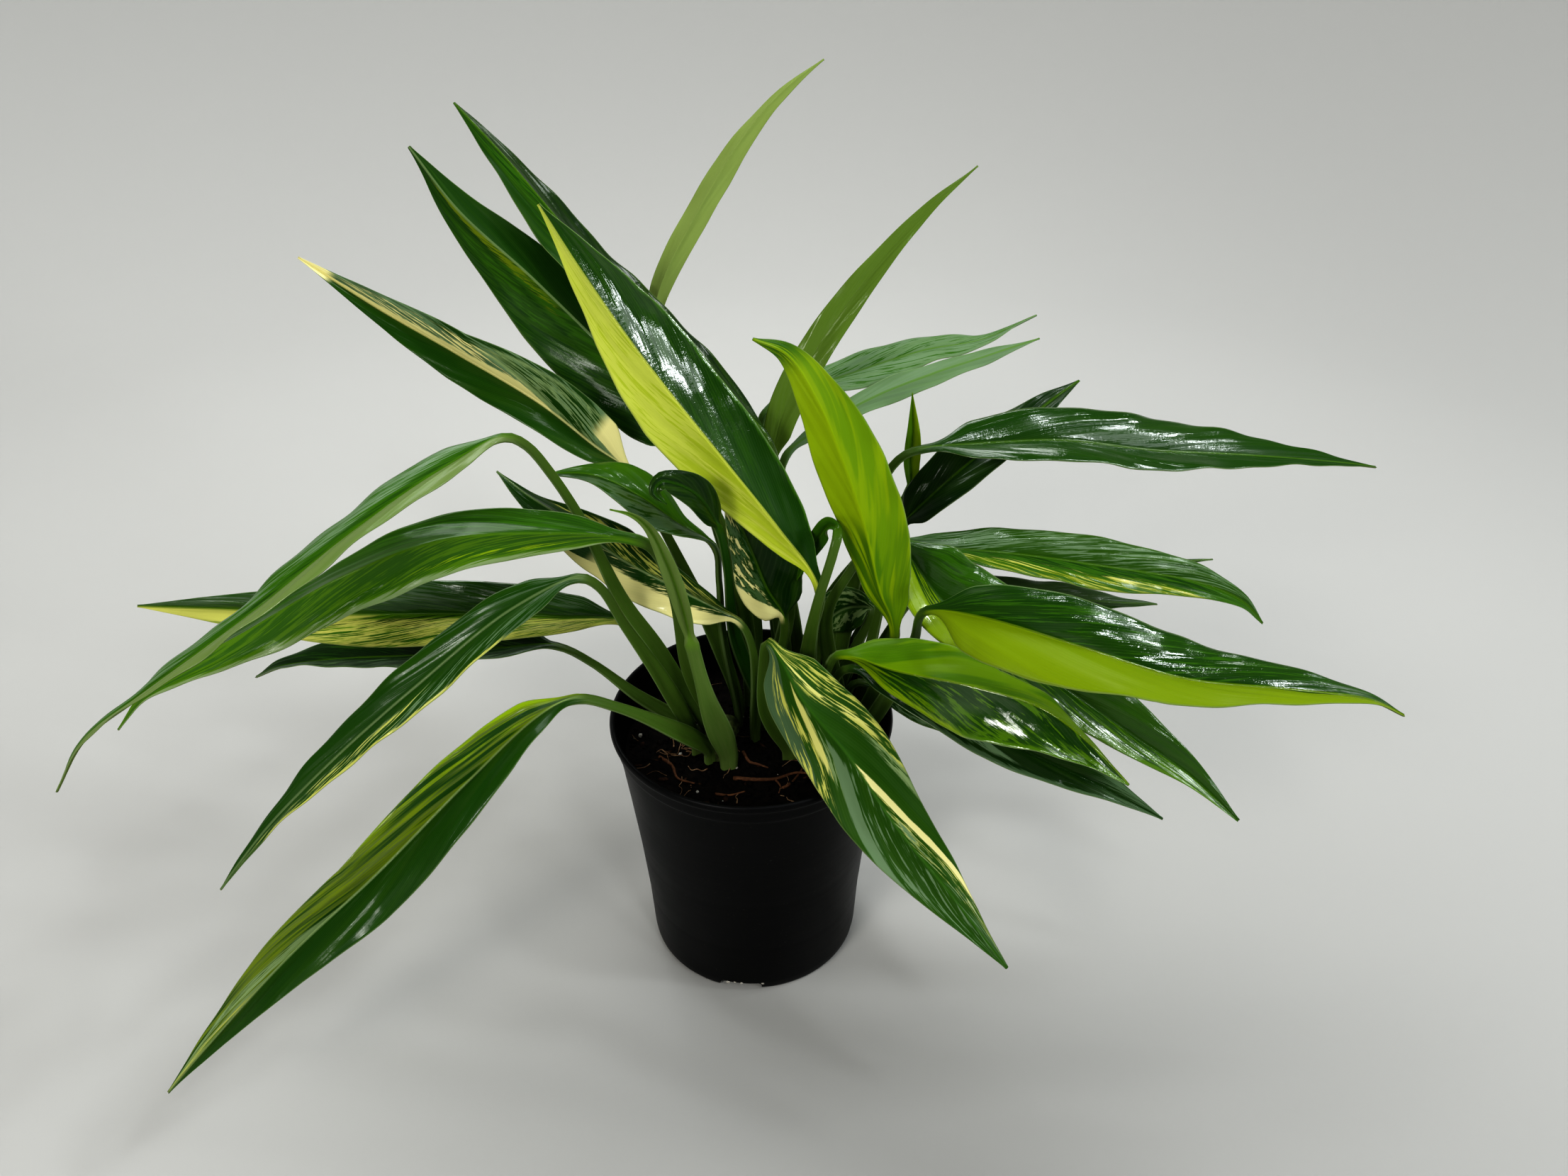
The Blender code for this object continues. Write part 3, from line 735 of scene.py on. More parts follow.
    def build(self, name: str, index: int, finish: LeafFinish) -> bpy.types.Object:
        """Make the leaf and dress it.

        Args:
            name: the node that it stands for.
            index: number of the leaf, which seeds what varies.
            finish: its colours and shine.

        Returns:
            The leaf.
        """
        places, directions, t, length = self.stations()
        phase = random.Random(index).uniform(0, math.tau)
        on_blade = np.clip(t, 0, 1)
        facing = unit(FACING - (directions @ FACING)[:, None] * directions)
        turn = np.radians(np.interp(on_blade, (0, 0.5, 1), self.turn))[:, None]
        up = unit(facing * np.cos(turn) + np.cross(directions, facing) * np.sin(turn))
        side = unit(np.cross(directions, up))
        half = np.maximum(self.half * smooth_profile(on_blade ** self.belly, BLADE_PROFILE), 0.5)
        stem = self.stem * smooth_profile(t, STALK_PROFILE)
        sections = []
        for i, place in enumerate(places):
            flat = self.section(t[i], length, stem[i], half[i], phase)
            sections.append(place + flat[:, :1] * side[i] + flat[:, 1:] * up[i])
        piece = add_piece(name + "_leaf", np.vstack(sections), tube_faces(len(places), 2 * len(ACROSS)),
                          finish.material(name, length, index * LEAF_APART), finish.slot)
        self.mark(piece.data, t, half)
        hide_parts(name)
        return piece

    def mark(self, mesh: bpy.types.Mesh, t: np.ndarray, half: np.ndarray) -> None:
        """Store where each point lies on the leaf, for the material.

        Args:
            mesh: the leaf's mesh.
            t: place of each section along the leaf.
            half: half width of the blade at each section.
        """
        around = 2 * len(ACROSS)
        across = np.tile(np.concatenate([ACROSS, ACROSS[::-1]]), len(t))
        upper = np.tile(np.repeat([1.0, 0.0], len(ACROSS)), len(t))
        values = {"along": np.repeat(t, around), "across": across, "upper": upper,
                  "off": np.abs(across) * np.repeat(half, around)}
        for key, value in values.items():
            layer = mesh.attributes.new(key, "FLOAT", "POINT")
            layer.data.foreach_set("value", value.astype(np.float32))
        loops = np.zeros(len(mesh.loops), np.int32)
        mesh.loops.foreach_get("vertex_index", loops)
        flat = np.stack([across[loops] * 0.5 * 0.45 + 0.25 + 0.5 * (1 - upper[loops]),
                         values["along"][loops] * 0.5 + 0.5], -1)
        layer = mesh.uv_layers.new(name="leaf")
        layer.data.foreach_set("uv", flat.astype(np.float32).ravel())


L, R, B = Side.LEFT, Side.RIGHT, Side.BOTH
WET, GLOSSY, SATIN, MATT = Gloss

FINISHES = {
    "leaf_upper_1": LeafFinish(DARK, DEEP, GLOSSY, wax_side=R, streaks=(
        Streak(L, (0.1, 0.8), (0.10, 0.55), MID, 0.9),)),
    "leaf_upper_2": LeafFinish(
        BRIGHT, DARK, WET, wax_side=R, wax_along=(0.42, 0.95), mottle=0.12, midrib=BRIGHT, streaks=(
            Streak(L, (-0.3, 0.9), (0.05, 0.95), LEMON, 1.0),
            Streak(L, (-0.5, 0.9), (-0.1, 1.1), LEMON, 0.6, (-0.2, 0.40), True),
            Streak(R, (0.1, 0.9), (0.10, 0.90), LEAF_GREEN, 0.95),
            Streak(R, (-0.4, 1.0), (0.93, 1.1), MID, 0.1))),
    "leaf_upper_3": LeafFinish(
        LEAF_GREEN, DARK, SATIN, wax_side=L, wax_along=(-0.2, 0.36), midrib=PALE, mottle=0.2, streaks=(
            Streak(L, (-0.3, 0.9), (0.10, 1.0), DARK, 0.8),
            Streak(L, (0.30, 0.84), (0.04, 0.20), MOSS, 0.4, (0.48, 0.92)),
            Streak(L, (0.26, 0.60), (0.40, 0.70), MID, 0.85), Streak(L, (0.10, 0.56), (0.05, 0.30), MID, 0.7))),
    "leaf_upper_4": LeafFinish(
        DARK, ASH, SATIN, wax_side=L, midrib=CREAM, slot="leaf_striped", mottle=0.2, streaks=(
            Streak(R, (-0.2, 0.9), (0.25, 1.1), GREY, 0.7),
            Streak(R, (-0.2, 0.30), (0.60, 1.1), DARK, 0.5, (0.10, 0.60)),
            Streak(R, (0.1, 0.7), (0.15, 0.80), CREAM, 1.0, (0.25, 0.85)),
            Streak(R, (-0.3, 0.24), (0.02, 0.85), PALE, 0.6, (0.04, 0.45)),
            Streak(R, (-0.3, 0.20), (0.00, 0.80), DARK, 0.85, (0.07, 0.40)),
            Streak(R, (0.24, 1.1), (-0.1, 0.22), CREAM, 0.1),
            Streak(R, (-0.5, 0.02), (-0.1, 1.1), CREAM, 0.1, (-0.1, 0.13)),
            Streak(B, (0.55, 1.2), (-0.1, 1.1), CREAM, 0.1, (0.90, 1.1)))),
    "leaf_top_1": LeafFinish(MID, MID, MATT, under=(0.270, 0.350, 0.090), slot="leaf_olive"),
    "leaf_top_2": LeafFinish(MID, MID, SATIN, under=(0.110, 0.190, 0.012), slot="leaf_olive"),
    "leaf_back_1": LeafFinish(ASH, ASH, MATT, under=ASH, slot="leaf_grey_green", streaks=(
        Streak(B, (-0.3, 0.9), (0.1, 0.95), MID, 1.1),)),
    "leaf_back_2": LeafFinish(ASH, ASH, MATT, under=ASH, slot="leaf_grey_green"),
    "leaf_right_1": LeafFinish(DARK, DARK, WET, wax_along=(0.02, 0.62), mottle=0.15),
    "leaf_right_2": LeafFinish(DEEP, DEEP, SATIN, mottle=0.2),
    "leaf_right_3": LeafFinish(
        LIME, APPLE, SATIN, mottle=0.2, midrib=LIME, slot="leaf_lime", wax_along=(0.75, 1.1), streaks=(
            Streak(B, (-0.4, 0.5), (0.0, 1.1), FRESH, 0.6, (-0.1, 0.36), True),
            Streak(R, (-0.4, 0.9), (0.2, 1.1), PEAR, 0.8, blotchy=True),
            Streak(B, (0.45, 1.2), (-0.1, 1.1), MID, 0.5, (0.88, 1.1)))),
    # Painted sheen: the ASH streaks on the upper half stand for the grey-green sheen along its pleats.
    "leaf_right_4": LeafFinish(LEAF_GREEN, MID, SATIN, slot="leaf_striped", streaks=(
        Streak(L, (-0.3, 0.8), (0.05, 1.0), ASH, 0.95), Streak(R, (-0.3, 0.7), (0.05, 0.7), DARK, 0.85),
        Streak(R, (-0.35, 0.45), (0.55, 1.1), MOSS, 0.75), Streak(R, (-0.2, 0.5), (0.50, 1.0), GOLDEN, 1.12))),
    "leaf_right_5": LeafFinish(DARK, DEEP, GLOSSY),
    "leaf_right_6": LeafFinish(LEAF_GREEN, FRESH, GLOSSY, midrib=MID, slot="leaf_lime", mottle=0.3, streaks=(
        Streak(R, (-0.4, 0.16), (-0.1, 1.1), APPLE, 0.3), Streak(R, (0.0, 0.9), (0.0, 0.8), LEAF_GREEN, 0.7),
        Streak(L, (-0.4, 0.3), (0.5, 1.1), MID, 0.8))),
    "leaf_right_7": LeafFinish(GREY, DARK, GLOSSY),
    "leaf_right_8": LeafFinish(
        DARK, KIWI, WET, midrib=APPLE, mottle=0.15, wax_side=L, wax_along=(0.26, 0.90), slot="leaf_lime",
        streaks=(
            Streak(R, (0.70, 1.2), (-0.1, 0.25), DARK, 0.3), Streak(L, (-0.3, 0.9), (0.05, 0.9), MID, 1.1))),
    "leaf_right_9": LeafFinish(
        FRESH, FRESH, WET, midrib=APPLE, slot="leaf_lime", wax_side=R, wax_along=(0.28, 1.0), mottle=0.2,
        streaks=(
            Streak(R, (-0.4, 0.06), (-0.1, 1.1), APPLE, 0.6), Streak(R, (0.08, 0.95), (-0.1, 0.45), DARK, 0.5),
            Streak(R, (-0.1, 0.6), (0.35, 0.90), LEAF_GREEN, 0.7),
            Streak(L, (-0.3, 0.9), (0.0, 1.1), PEAR, 0.8, blotchy=True))),
    "leaf_right_10": LeafFinish(DEEP, DEEP, SATIN, midrib=DARK, mottle=0.2, streaks=(
        Streak(R, (0.10, 0.30), (0.25, 0.70), ASH, 0.5), Streak(R, (-0.1, 0.5), (0.85, 1.1), GREY, 0.3),
        Streak(B, (-0.1, 1.2), (0.1, 1.1), GREY, 0.6, (0.80, 1.1)))),
    "leaf_right_11": LeafFinish(DARK, DARK, SATIN, streaks=(
        Streak(R, (-0.3, 0.6), (0.5, 0.95), ASH, 0.8),)),
    "leaf_front": LeafFinish(
        LEAF_GREEN, LEAF_GREEN, SATIN, wax_along=(0.8, 1.1), slot="leaf_striped", midrib=MID, mottle=0.25,
        streaks=(
            Streak(R, (-0.5, -0.02), (-0.1, 1.1), GREY, 0.3), Streak(R, (-0.15, 0.10), (0.45, 1.1), GOLDEN, 0.95),
            Streak(R, (0.12, 0.22), (0.10, 0.60), PALE, 0.9),
            Streak(R, (0.090, 0.150), (0.08, 0.55), BUTTER, 0.25),
            Streak(R, (0.21, 0.31), (0.16, 1.1), ASH, 0.15), Streak(R, (0.33, 0.90), (0.08, 0.97), ASH, 1.1),
            Streak(L, (-0.5, 0.10), (0.15, 1.1), GOLDEN, 0.95),
            Streak(L, (0.00, 0.05), (0.20, 0.80), BUTTER, 0.8), Streak(L, (0.08, 0.15), (0.62, 1.1), PALE, 0.5),
            Streak(L, (0.375, 0.445), (0.02, 1.1), CREAM, 0.12),
            Streak(L, (0.46, 0.66), (0.08, 0.97), BUTTER, 1.0), Streak(L, (0.50, 0.98), (0.05, 0.95), ASH, 1.1))),
    "leaf_left_1": LeafFinish(SAGE, MID, SATIN, slot="leaf_green", streaks=(
        Streak(R, (-0.3, 0.9), (0.10, 0.95), LEAF_GREEN, 0.9), Streak(R, (-0.3, 0.7), (0.3, 1.1), ASH, 0.8))),
    "leaf_left_2": LeafFinish(FRESH, LEAF_GREEN, SATIN, slot="leaf_green", midrib=FRESH, mottle=0.3, streaks=(
        Streak(R, (-0.3, 0.9), (0.10, 0.95), MID, 1.0), Streak(L, (-0.12, 0.14), (0.50, 0.64), LIME, 0.5),
        Streak(L, (-0.3, 0.9), (0.05, 0.80), MID, 0.8), Streak(L, (-0.4, 0.6), (0.84, 1.1), PALE, 0.4))),
    # Painted sheen: the GREY streaks on the upper half stand for its grey-blue sheen.
    "leaf_left_3": LeafFinish(FRESH, LEAF_GREEN, GLOSSY, slot="leaf_striped", wax_side=R, streaks=(
        Streak(R, (-0.3, 0.9), (0.1, 1.0), DARK, 0.7), Streak(R, (-0.3, 0.9), (0.4, 1.1), GREY, 0.9),
        Streak(L, (-0.4, 0.8), (0.15, 1.1), GOLDEN, 0.5), Streak(L, (-0.3, 0.7), (0.0, 0.75), DARK, 1.0),
        Streak(L, (-0.3, 0.7), (0.5, 1.0), MID, 1.0), Streak(L, (0.5, 1.2), (-0.1, 1.1), GOLDEN, 0.2))),
    "leaf_left_4": LeafFinish(GREY, DARK, SATIN, streaks=(
        Streak(B, (-0.3, 0.8), (0.0, 0.95), DEEP, 0.6),)),
    # Painted sheen: the GREY streaks at the base of the upper half stand for a grey-green sheen.
    "leaf_left_5": LeafFinish(DARK, DARK, SATIN, midrib=PALE, mottle=0.2, streaks=(
        Streak(R, (-0.4, 0.0), (0.2, 1.1), GREY, 1.0), Streak(L, (-0.3, 0.0), (0.2, 1.1), GREY, 0.9),
        Streak(L, (-0.1, 1.0), (0.50, 0.95), ASH, 1.0, (0.15, 0.95)),
        Streak(L, (0.2, 1.0), (0.55, 0.95), GOLDEN, 1.12, (0.30, 0.90)),
        Streak(L, (-0.4, 1.1), (0.92, 1.1), GOLDEN, 0.1, (0.20, 0.85)))),
    "leaf_left_6": LeafFinish(DARK, MOSS, SATIN, midrib=PALE, slot="leaf_striped", mottle=0.2, streaks=(
        Streak(R, (-0.5, 0.05), (-0.1, 1.1), APPLE, 0.6), Streak(R, (-0.2, 0.9), (0.10, 1.0), OLIVE, 0.8),
        Streak(R, (-0.1, 0.75), (0.12, 1.1), DARK, 0.95, blotchy=True),
        Streak(R, (0.55, 1.2), (-0.1, 0.7), PALE, 0.6), Streak(R, (0.75, 1.2), (-0.1, 1.1), GOLDEN, 0.9))),
    "leaf_inner_1": LeafFinish(
        CREAM, DARK, SATIN, midrib=PALE, slot="leaf_striped", mottle=0.1, under=PALE, streaks=(
            Streak(L, (-0.1, 0.9), (-0.1, 0.35), DARK, 0.5),
            Streak(L, (0.3, 1.2), (-0.1, 1.1), DARK, 0.3, (0.55, 1.1)),
            Streak(R, (-0.2, 0.5), (0.1, 0.9), GOLDEN, 0.95))),
    # Painted sheen: the GREY streaks on the lower half stand for a dark grey sheen.
    "leaf_inner_2": LeafFinish(DARK, MID, SATIN, slot="leaf_green", streaks=(
        Streak(L, (-0.4, 0.6), (0.1, 1.0), GREY, 0.6),)),
    "leaf_inner_3": LeafFinish(DEEP, DEEP, SATIN, under=LEAF_GREEN, midrib=MID, stalk=DARK),
    "leaf_inner_4": LeafFinish(GREY, DEEP, SATIN, slot="leaf_striped", streaks=(
        Streak(L, (-0.4, 0.8), (0.0, 1.1), DARK, 0.75), Streak(L, (-0.4, 0.8), (0.3, 1.1), CREAM, 1.05),
        Streak(L, (-0.5, 0.02), (-0.1, 1.1), CREAM, 0.2))),
    "leaf_inner_5": LeafFinish(DARK, DARK, SATIN, midrib=PALE, slot="leaf_striped", streaks=(
        Streak(B, (-0.3, 0.8), (0.2, 0.9), PALE, 0.95),)),
    "leaf_inner_6": LeafFinish(MID, MID, SATIN, slot="leaf_green"),
    "spike_back": LeafFinish(FRESH, APPLE, SATIN, slot="leaf_lime"),
    "sheath_front": LeafFinish(SHEATH, SHEATH, MATT, under=SHEATH, stalk=SHEATH, slot="leaf_pale", mottle=0.2),
}

LEAVES = {
    "leaf_upper_1": Leaf(
        (8, 42), [(21, 36, 216), (17, 36, 284)], [(11, 36, 326), (-14, 54, 351), (-49, 78, 378), (-92, 106, 411),
        (-131, 134, 447), (-163, 156, 474)], 18.5, (30, 40, 30), -20, 1.3),
    "leaf_upper_2": Leaf(
        (24, 10), [(32, 4, 189), (35, 0, 227)], [(38, -6, 261), (17, -1, 293), (-13, 11, 330), (-56, 27, 384),
        (-84, 37, 425), (-102, 44, 454)], 29, (-25, -5, -40), -30, 1.35, stem=2.8),
    "leaf_upper_3": Leaf(
        (-2, 36), [(-5, 40, 214), (-20, 44, 270)], [(-28, 48, 313), (-53, 59, 342), (-80, 73, 366),
        (-119, 95, 397), (-160, 119, 426), (-187, 138, 455)], 28, (20, 15, -25), -28, 0.95, -0.05),
    "leaf_upper_4": Leaf(
        (-8, 28), [(-23, 28, 207), (-39, 29, 253), (-52, 26, 288)], [(-63, 24, 314), (-83, 30, 328),
        (-110, 40, 347), (-155, 58, 368), (-198, 77, 385), (-246, 100, 406)], 19, (30, -15, 10), 34, 0.75, 0.05),
    "leaf_top_1": Leaf(
        (2, 52), [(0, 60, 199), (-21, 74, 257), (-46, 93, 307)], [(-57, 102, 348), (-52, 114, 380),
        (-29, 132, 421), (-1, 150, 460), (20, 161, 480), (41, 172, 493)], 8, (185, 180, 165), 24, 1.15),
    "leaf_top_2": Leaf(
        (22, 52), [(16, 56, 202), (12, 58, 261)], [(12, 60, 300), (19, 66, 330), (36, 75, 362), (63, 89, 397),
        (95, 104, 430), (123, 116, 451)], 10, (180, 175, 175), -18, 0.75),
    "leaf_back_1": Leaf(
        (16, 62), [(13, 72, 212), (6, 84, 275)], [(7, 90, 315), (26, 99, 325), (60, 114, 331), (101, 131, 337),
        (140, 148, 337), (173, 164, 346)], 13, (-30, -30, -70), 8, 1.15, 0.1),
    "leaf_back_2": Leaf(
        (30, 62), [(21, 68, 215), (16, 73, 262)], [(20, 78, 295), (41, 83, 312), (70, 92, 326), (103, 103, 335),
        (136, 115, 341), (169, 127, 347)], 8.5, (-30, -25, -35), -10, 1.3, -0.05),
    "leaf_right_1": Leaf(
        (50, 36), [(57, 48, 203), (66, 48, 262), (76, 46, 301), (85, 46, 313)], [(95, 46, 317), (130, 49, 319),
        (174, 54, 318), (226, 63, 307), (287, 77, 296), (342, 89, 285), (372, 96, 278)], 21, (-30, -35, -55), 18),
    "leaf_right_2": Leaf(
        (44, 48), [(52, 52, 185), (72, 58, 228)], [(88, 62, 258), (106, 65, 278), (130, 74, 297), (156, 88, 310),
        (177, 103, 320), (193, 116, 325)], 17, (-35, -25, -25), 18, 0.85),
    "leaf_right_3": Leaf(
        (52, -6), [(65, -5, 170), (73, -6, 197)], [(80, -10, 232), (70, -15, 264), (60, -19, 308), (48, -22, 347),
        (34, -26, 384), (20, -30, 408), (5, -36, 418)], 21.5, (-40, -20, -15), -28, 1.1, 0.05, stem=2.8),
    "leaf_right_4": Leaf(
        (64, 16), [(68, 17, 194), (76, 21, 242)], [(81, 30, 265), (112, 34, 260), (155, 38, 253), (205, 41, 243),
        (261, 44, 230), (289, 44, 217), (305, 45, 200)], 17.5, (-50, -20, -20), 18, 1.2, 0.05),
    "leaf_right_5": Leaf(
        (56, 44), [(66, 44, 195), (88, 47, 226)], [(116, 50, 241), (154, 58, 237), (195, 68, 228), (242, 80, 219),
        (285, 92, 215)], 9, (-40, -40, -40), 14),
    "leaf_right_6": Leaf(
        (56, 6), [(43, 8, 231), (56, 9, 262), (66, 8, 279)], [(77, 11, 281), (106, 3, 246), (138, -6, 223),
        (176, -16, 199), (217, -29, 174), (249, -40, 155), (275, -55, 135)], 27, (-10, -20, 5), 22, 0.8, -0.1),
    "leaf_right_7": Leaf(
        (64, 28), [(79, 30, 200), (94, 32, 227)], [(111, 34, 235), (149, 42, 224), (186, 52, 213), (219, 62, 203),
        (249, 72, 195)], 11, (-40, -40, -40), 16),
    "leaf_right_8": Leaf(
        (60, -14), [(81, -11, 198), (90, -13, 228)], [(94, -38, 268), (120, -50, 272), (169, -65, 264),
        (218, -79, 255), (266, -89, 256), (306, -95, 254), (323, -98, 247)], 26.5, (15, -40, -55), 20, 0.95, 0.1),
    "leaf_right_9": Leaf(
        (42, -12), [(40, -16, 192), (43, -21, 217)], [(49, -26, 230), (77, -45, 234), (116, -62, 237),
        (151, -75, 233), (176, -86, 218), (196, -95, 199)], 26.5, (40, -30, -50), -34, 1.2, 0.05, stem=2.8),
    "leaf_right_10": Leaf(
        (46, 2), [(46, -8, 185), (49, -12, 205)], [(56, -16, 213), (80, -28, 211), (113, -42, 201),
        (151, -57, 187), (188, -71, 176), (221, -84, 164)], 19, (-30, -20, -35), 26, 1.15),
    "leaf_right_11": Leaf(
        (54, 15), [(55, 14, 165), (60, 11, 181)], [(67, 8, 184), (89, 1, 176), (111, -6, 168), (139, -18, 160)],
        13, (-40, -40, -40), 14),
    "leaf_front": Leaf(
        (22, -14), [(9, -18, 186), (8, -20, 220)], [(11, -26, 238), (29, -48, 216), (53, -72, 198),
        (77, -98, 173), (104, -124, 151), (134, -146, 119)], 27, (10, -10, -25), -28, 0.95, stem=2.8),
    "leaf_left_1": Leaf(
        (-25, -1), [(-50, -12, 221), (-67, -18, 259), (-83, -29, 317), (-94, -38, 349), (-103, -46, 369)],
        [(-111, -54, 377), (-137, -77, 372), (-170, -108, 359), (-212, -134, 333), (-259, -153, 304),
        (-287, -159, 284), (-305, -164, 258)], 12.5, (38, 50, 65), 8, 0.75),
    "leaf_left_2": Leaf(
        (-15, -5), [(-32, -22, 217), (-38, -34, 275), (-45, -42, 306)], [(-53, -48, 317), (-99, -59, 328),
        (-145, -69, 330), (-192, -78, 315), (-241, -87, 289), (-290, -95, 263), (-309, -100, 240)], 19,
        (-20, 25, 50), -34, 1.2, stem=2.8),
    "leaf_left_3": Leaf(
        (-28, 10), [(-43, 5, 185), (-58, 2, 213)], [(-67, 0, 232), (-110, 1, 236), (-166, 5, 235), (-231, 9, 232),
        (-296, 13, 233), (-347, 16, 233)], 20.5, (40, 5, 0), 24, 1.05, -0.05, stem=2.8),
    "leaf_left_4": Leaf(
        (-34, 2), [(-66, 2, 179), (-91, 6, 200)], [(-111, 10, 209), (-148, 18, 201), (-194, 29, 188),
        (-250, 42, 175), (-291, 53, 161), (-314, 62, 146)], 22, (45, 45, 60), 30, 0.9),
    "leaf_left_5": Leaf(
        (-32, -8), [(-48, -24, 211), (-65, -36, 258), (-75, -44, 287)], [(-84, -50, 296), (-116, -65, 287),
        (-159, -84, 258), (-201, -102, 226), (-237, -121, 195), (-262, -138, 168)], 14, (25, 25, 45), 14, 0.95,
        -0.05),
    "leaf_left_6": Leaf(
        (-24, -15), [(-46, -34, 186), (-71, -46, 210)], [(-90, -54, 222), (-107, -68, 223), (-142, -94, 201),
        (-186, -122, 166), (-232, -148, 131), (-276, -172, 89), (-296, -184, 69)], 21, (35, -10, 20), 30, 1.05,
        -0.1, stem=2.8),
    "leaf_inner_1": Leaf(
        (2, 4), [(3, 3, 184), (0, 1, 219)], [(-6, 0, 233), (-36, 1, 253), (-68, 3, 272), (-96, 4, 297),
        (-117, 4, 314), (-130, 4, 327)], 20, (45, 5, 60), -34, 1.15, 0.05),
    "leaf_inner_2": Leaf(
        (-8, 18), [(-16, 17, 211), (-17, 12, 252)], [(-19, 8, 278), (-36, 4, 294), (-57, -1, 315), (-78, -5, 329),
        (-101, -8, 332)], 17, (75, 45, 60), 8, 1.4, -0.05),
    "leaf_inner_3": Leaf(
        (8, 16), [(-9, 13, 213), (-12, 3, 268)], [(-16, -4, 298), (-25, -10, 320), (-36, -16, 331),
        (-43, -20, 334), (-46, -23, 330), (-40, -25, 324)], 9, (40, 20, -20), 10),
    "leaf_inner_4": Leaf(
        (12, 28), [(16, 22, 188)], [(19, 18, 223), (9, 19, 243), (1, 21, 265), (-7, 22, 288), (-14, 23, 309)], 22,
        (10, 20, 30), 24, 1.0, 0.1),
    "leaf_inner_5": Leaf(
        (46, 23), [(60, 27, 193)], [(70, 30, 221), (61, 34, 220), (53, 38, 215), (45, 42, 205), (37, 45, 193)],
        14, (-10, -10, -10), 12),
    "leaf_inner_6": Leaf(
        (31, 1), [(32, -10, 218), (37, -23, 263), (44, -22, 291)], [(47, -15, 302), (43, -3, 298), (38, 8, 284),
        (32, 14, 267), (26, 18, 249)], 6, (0, 0, 0), 30),
    "spike_back": Leaf(
        (38, 58), [(44, 66, 195), (74, 77, 240)], [(93, 80, 272), (93, 80, 291), (93, 79, 308), (92, 78, 322),
        (91, 77, 336)], 5.5, (0, 0, 0), 30),
    "sheath_front": Leaf(
        (-13, -19), [(-23, -28, 199)], [(-30, -34, 243), (-34, -40, 274), (-40, -46, 304), (-47, -52, 327),
        (-54, -57, 337), (-63, -62, 343)], 5, (0, 0, 0), 24, stem=3.6),
}


@dataclass(frozen=True)
class PotFinish:
    """Black satin plastic: faint flow lines round the wall, dust and fine grain."""

    tint: Tint = BLACK_PLASTIC
    roughness: float = 0.36

    def material(self) -> bpy.types.Material:
        """Make the material of the pot."""
        pen = ShaderPen("black_plastic")
        place = pen.place()
        flow = pen.noise(pen.scaled(place, (9.0, 9.0, 420.0)), 1.0, 3.0)
        grain = pen.noise(place, 2600.0, 2.0)
        cloud = pen.noise(place, 34.0, 4.0, 0.6)
        specks = pen.step(pen.noise(place, 700.0, 1.0), 0.70, 0.78)
        colour = pen.wash(self.tint, cloud, 0.5, WORN_PLASTIC)
        colour = pen.wash(colour, specks, 0.10, DUST)
        rough = pen.line(flow, 0.08, pen.line(cloud, 0.16, self.roughness - 0.06))
        pen.bump(pen.line(flow, 0.35, pen.times(grain, 0.30)), 0.00012, 0.6)
        return pen.finish(colour, rough, Specular_IOR_Level=0.15)


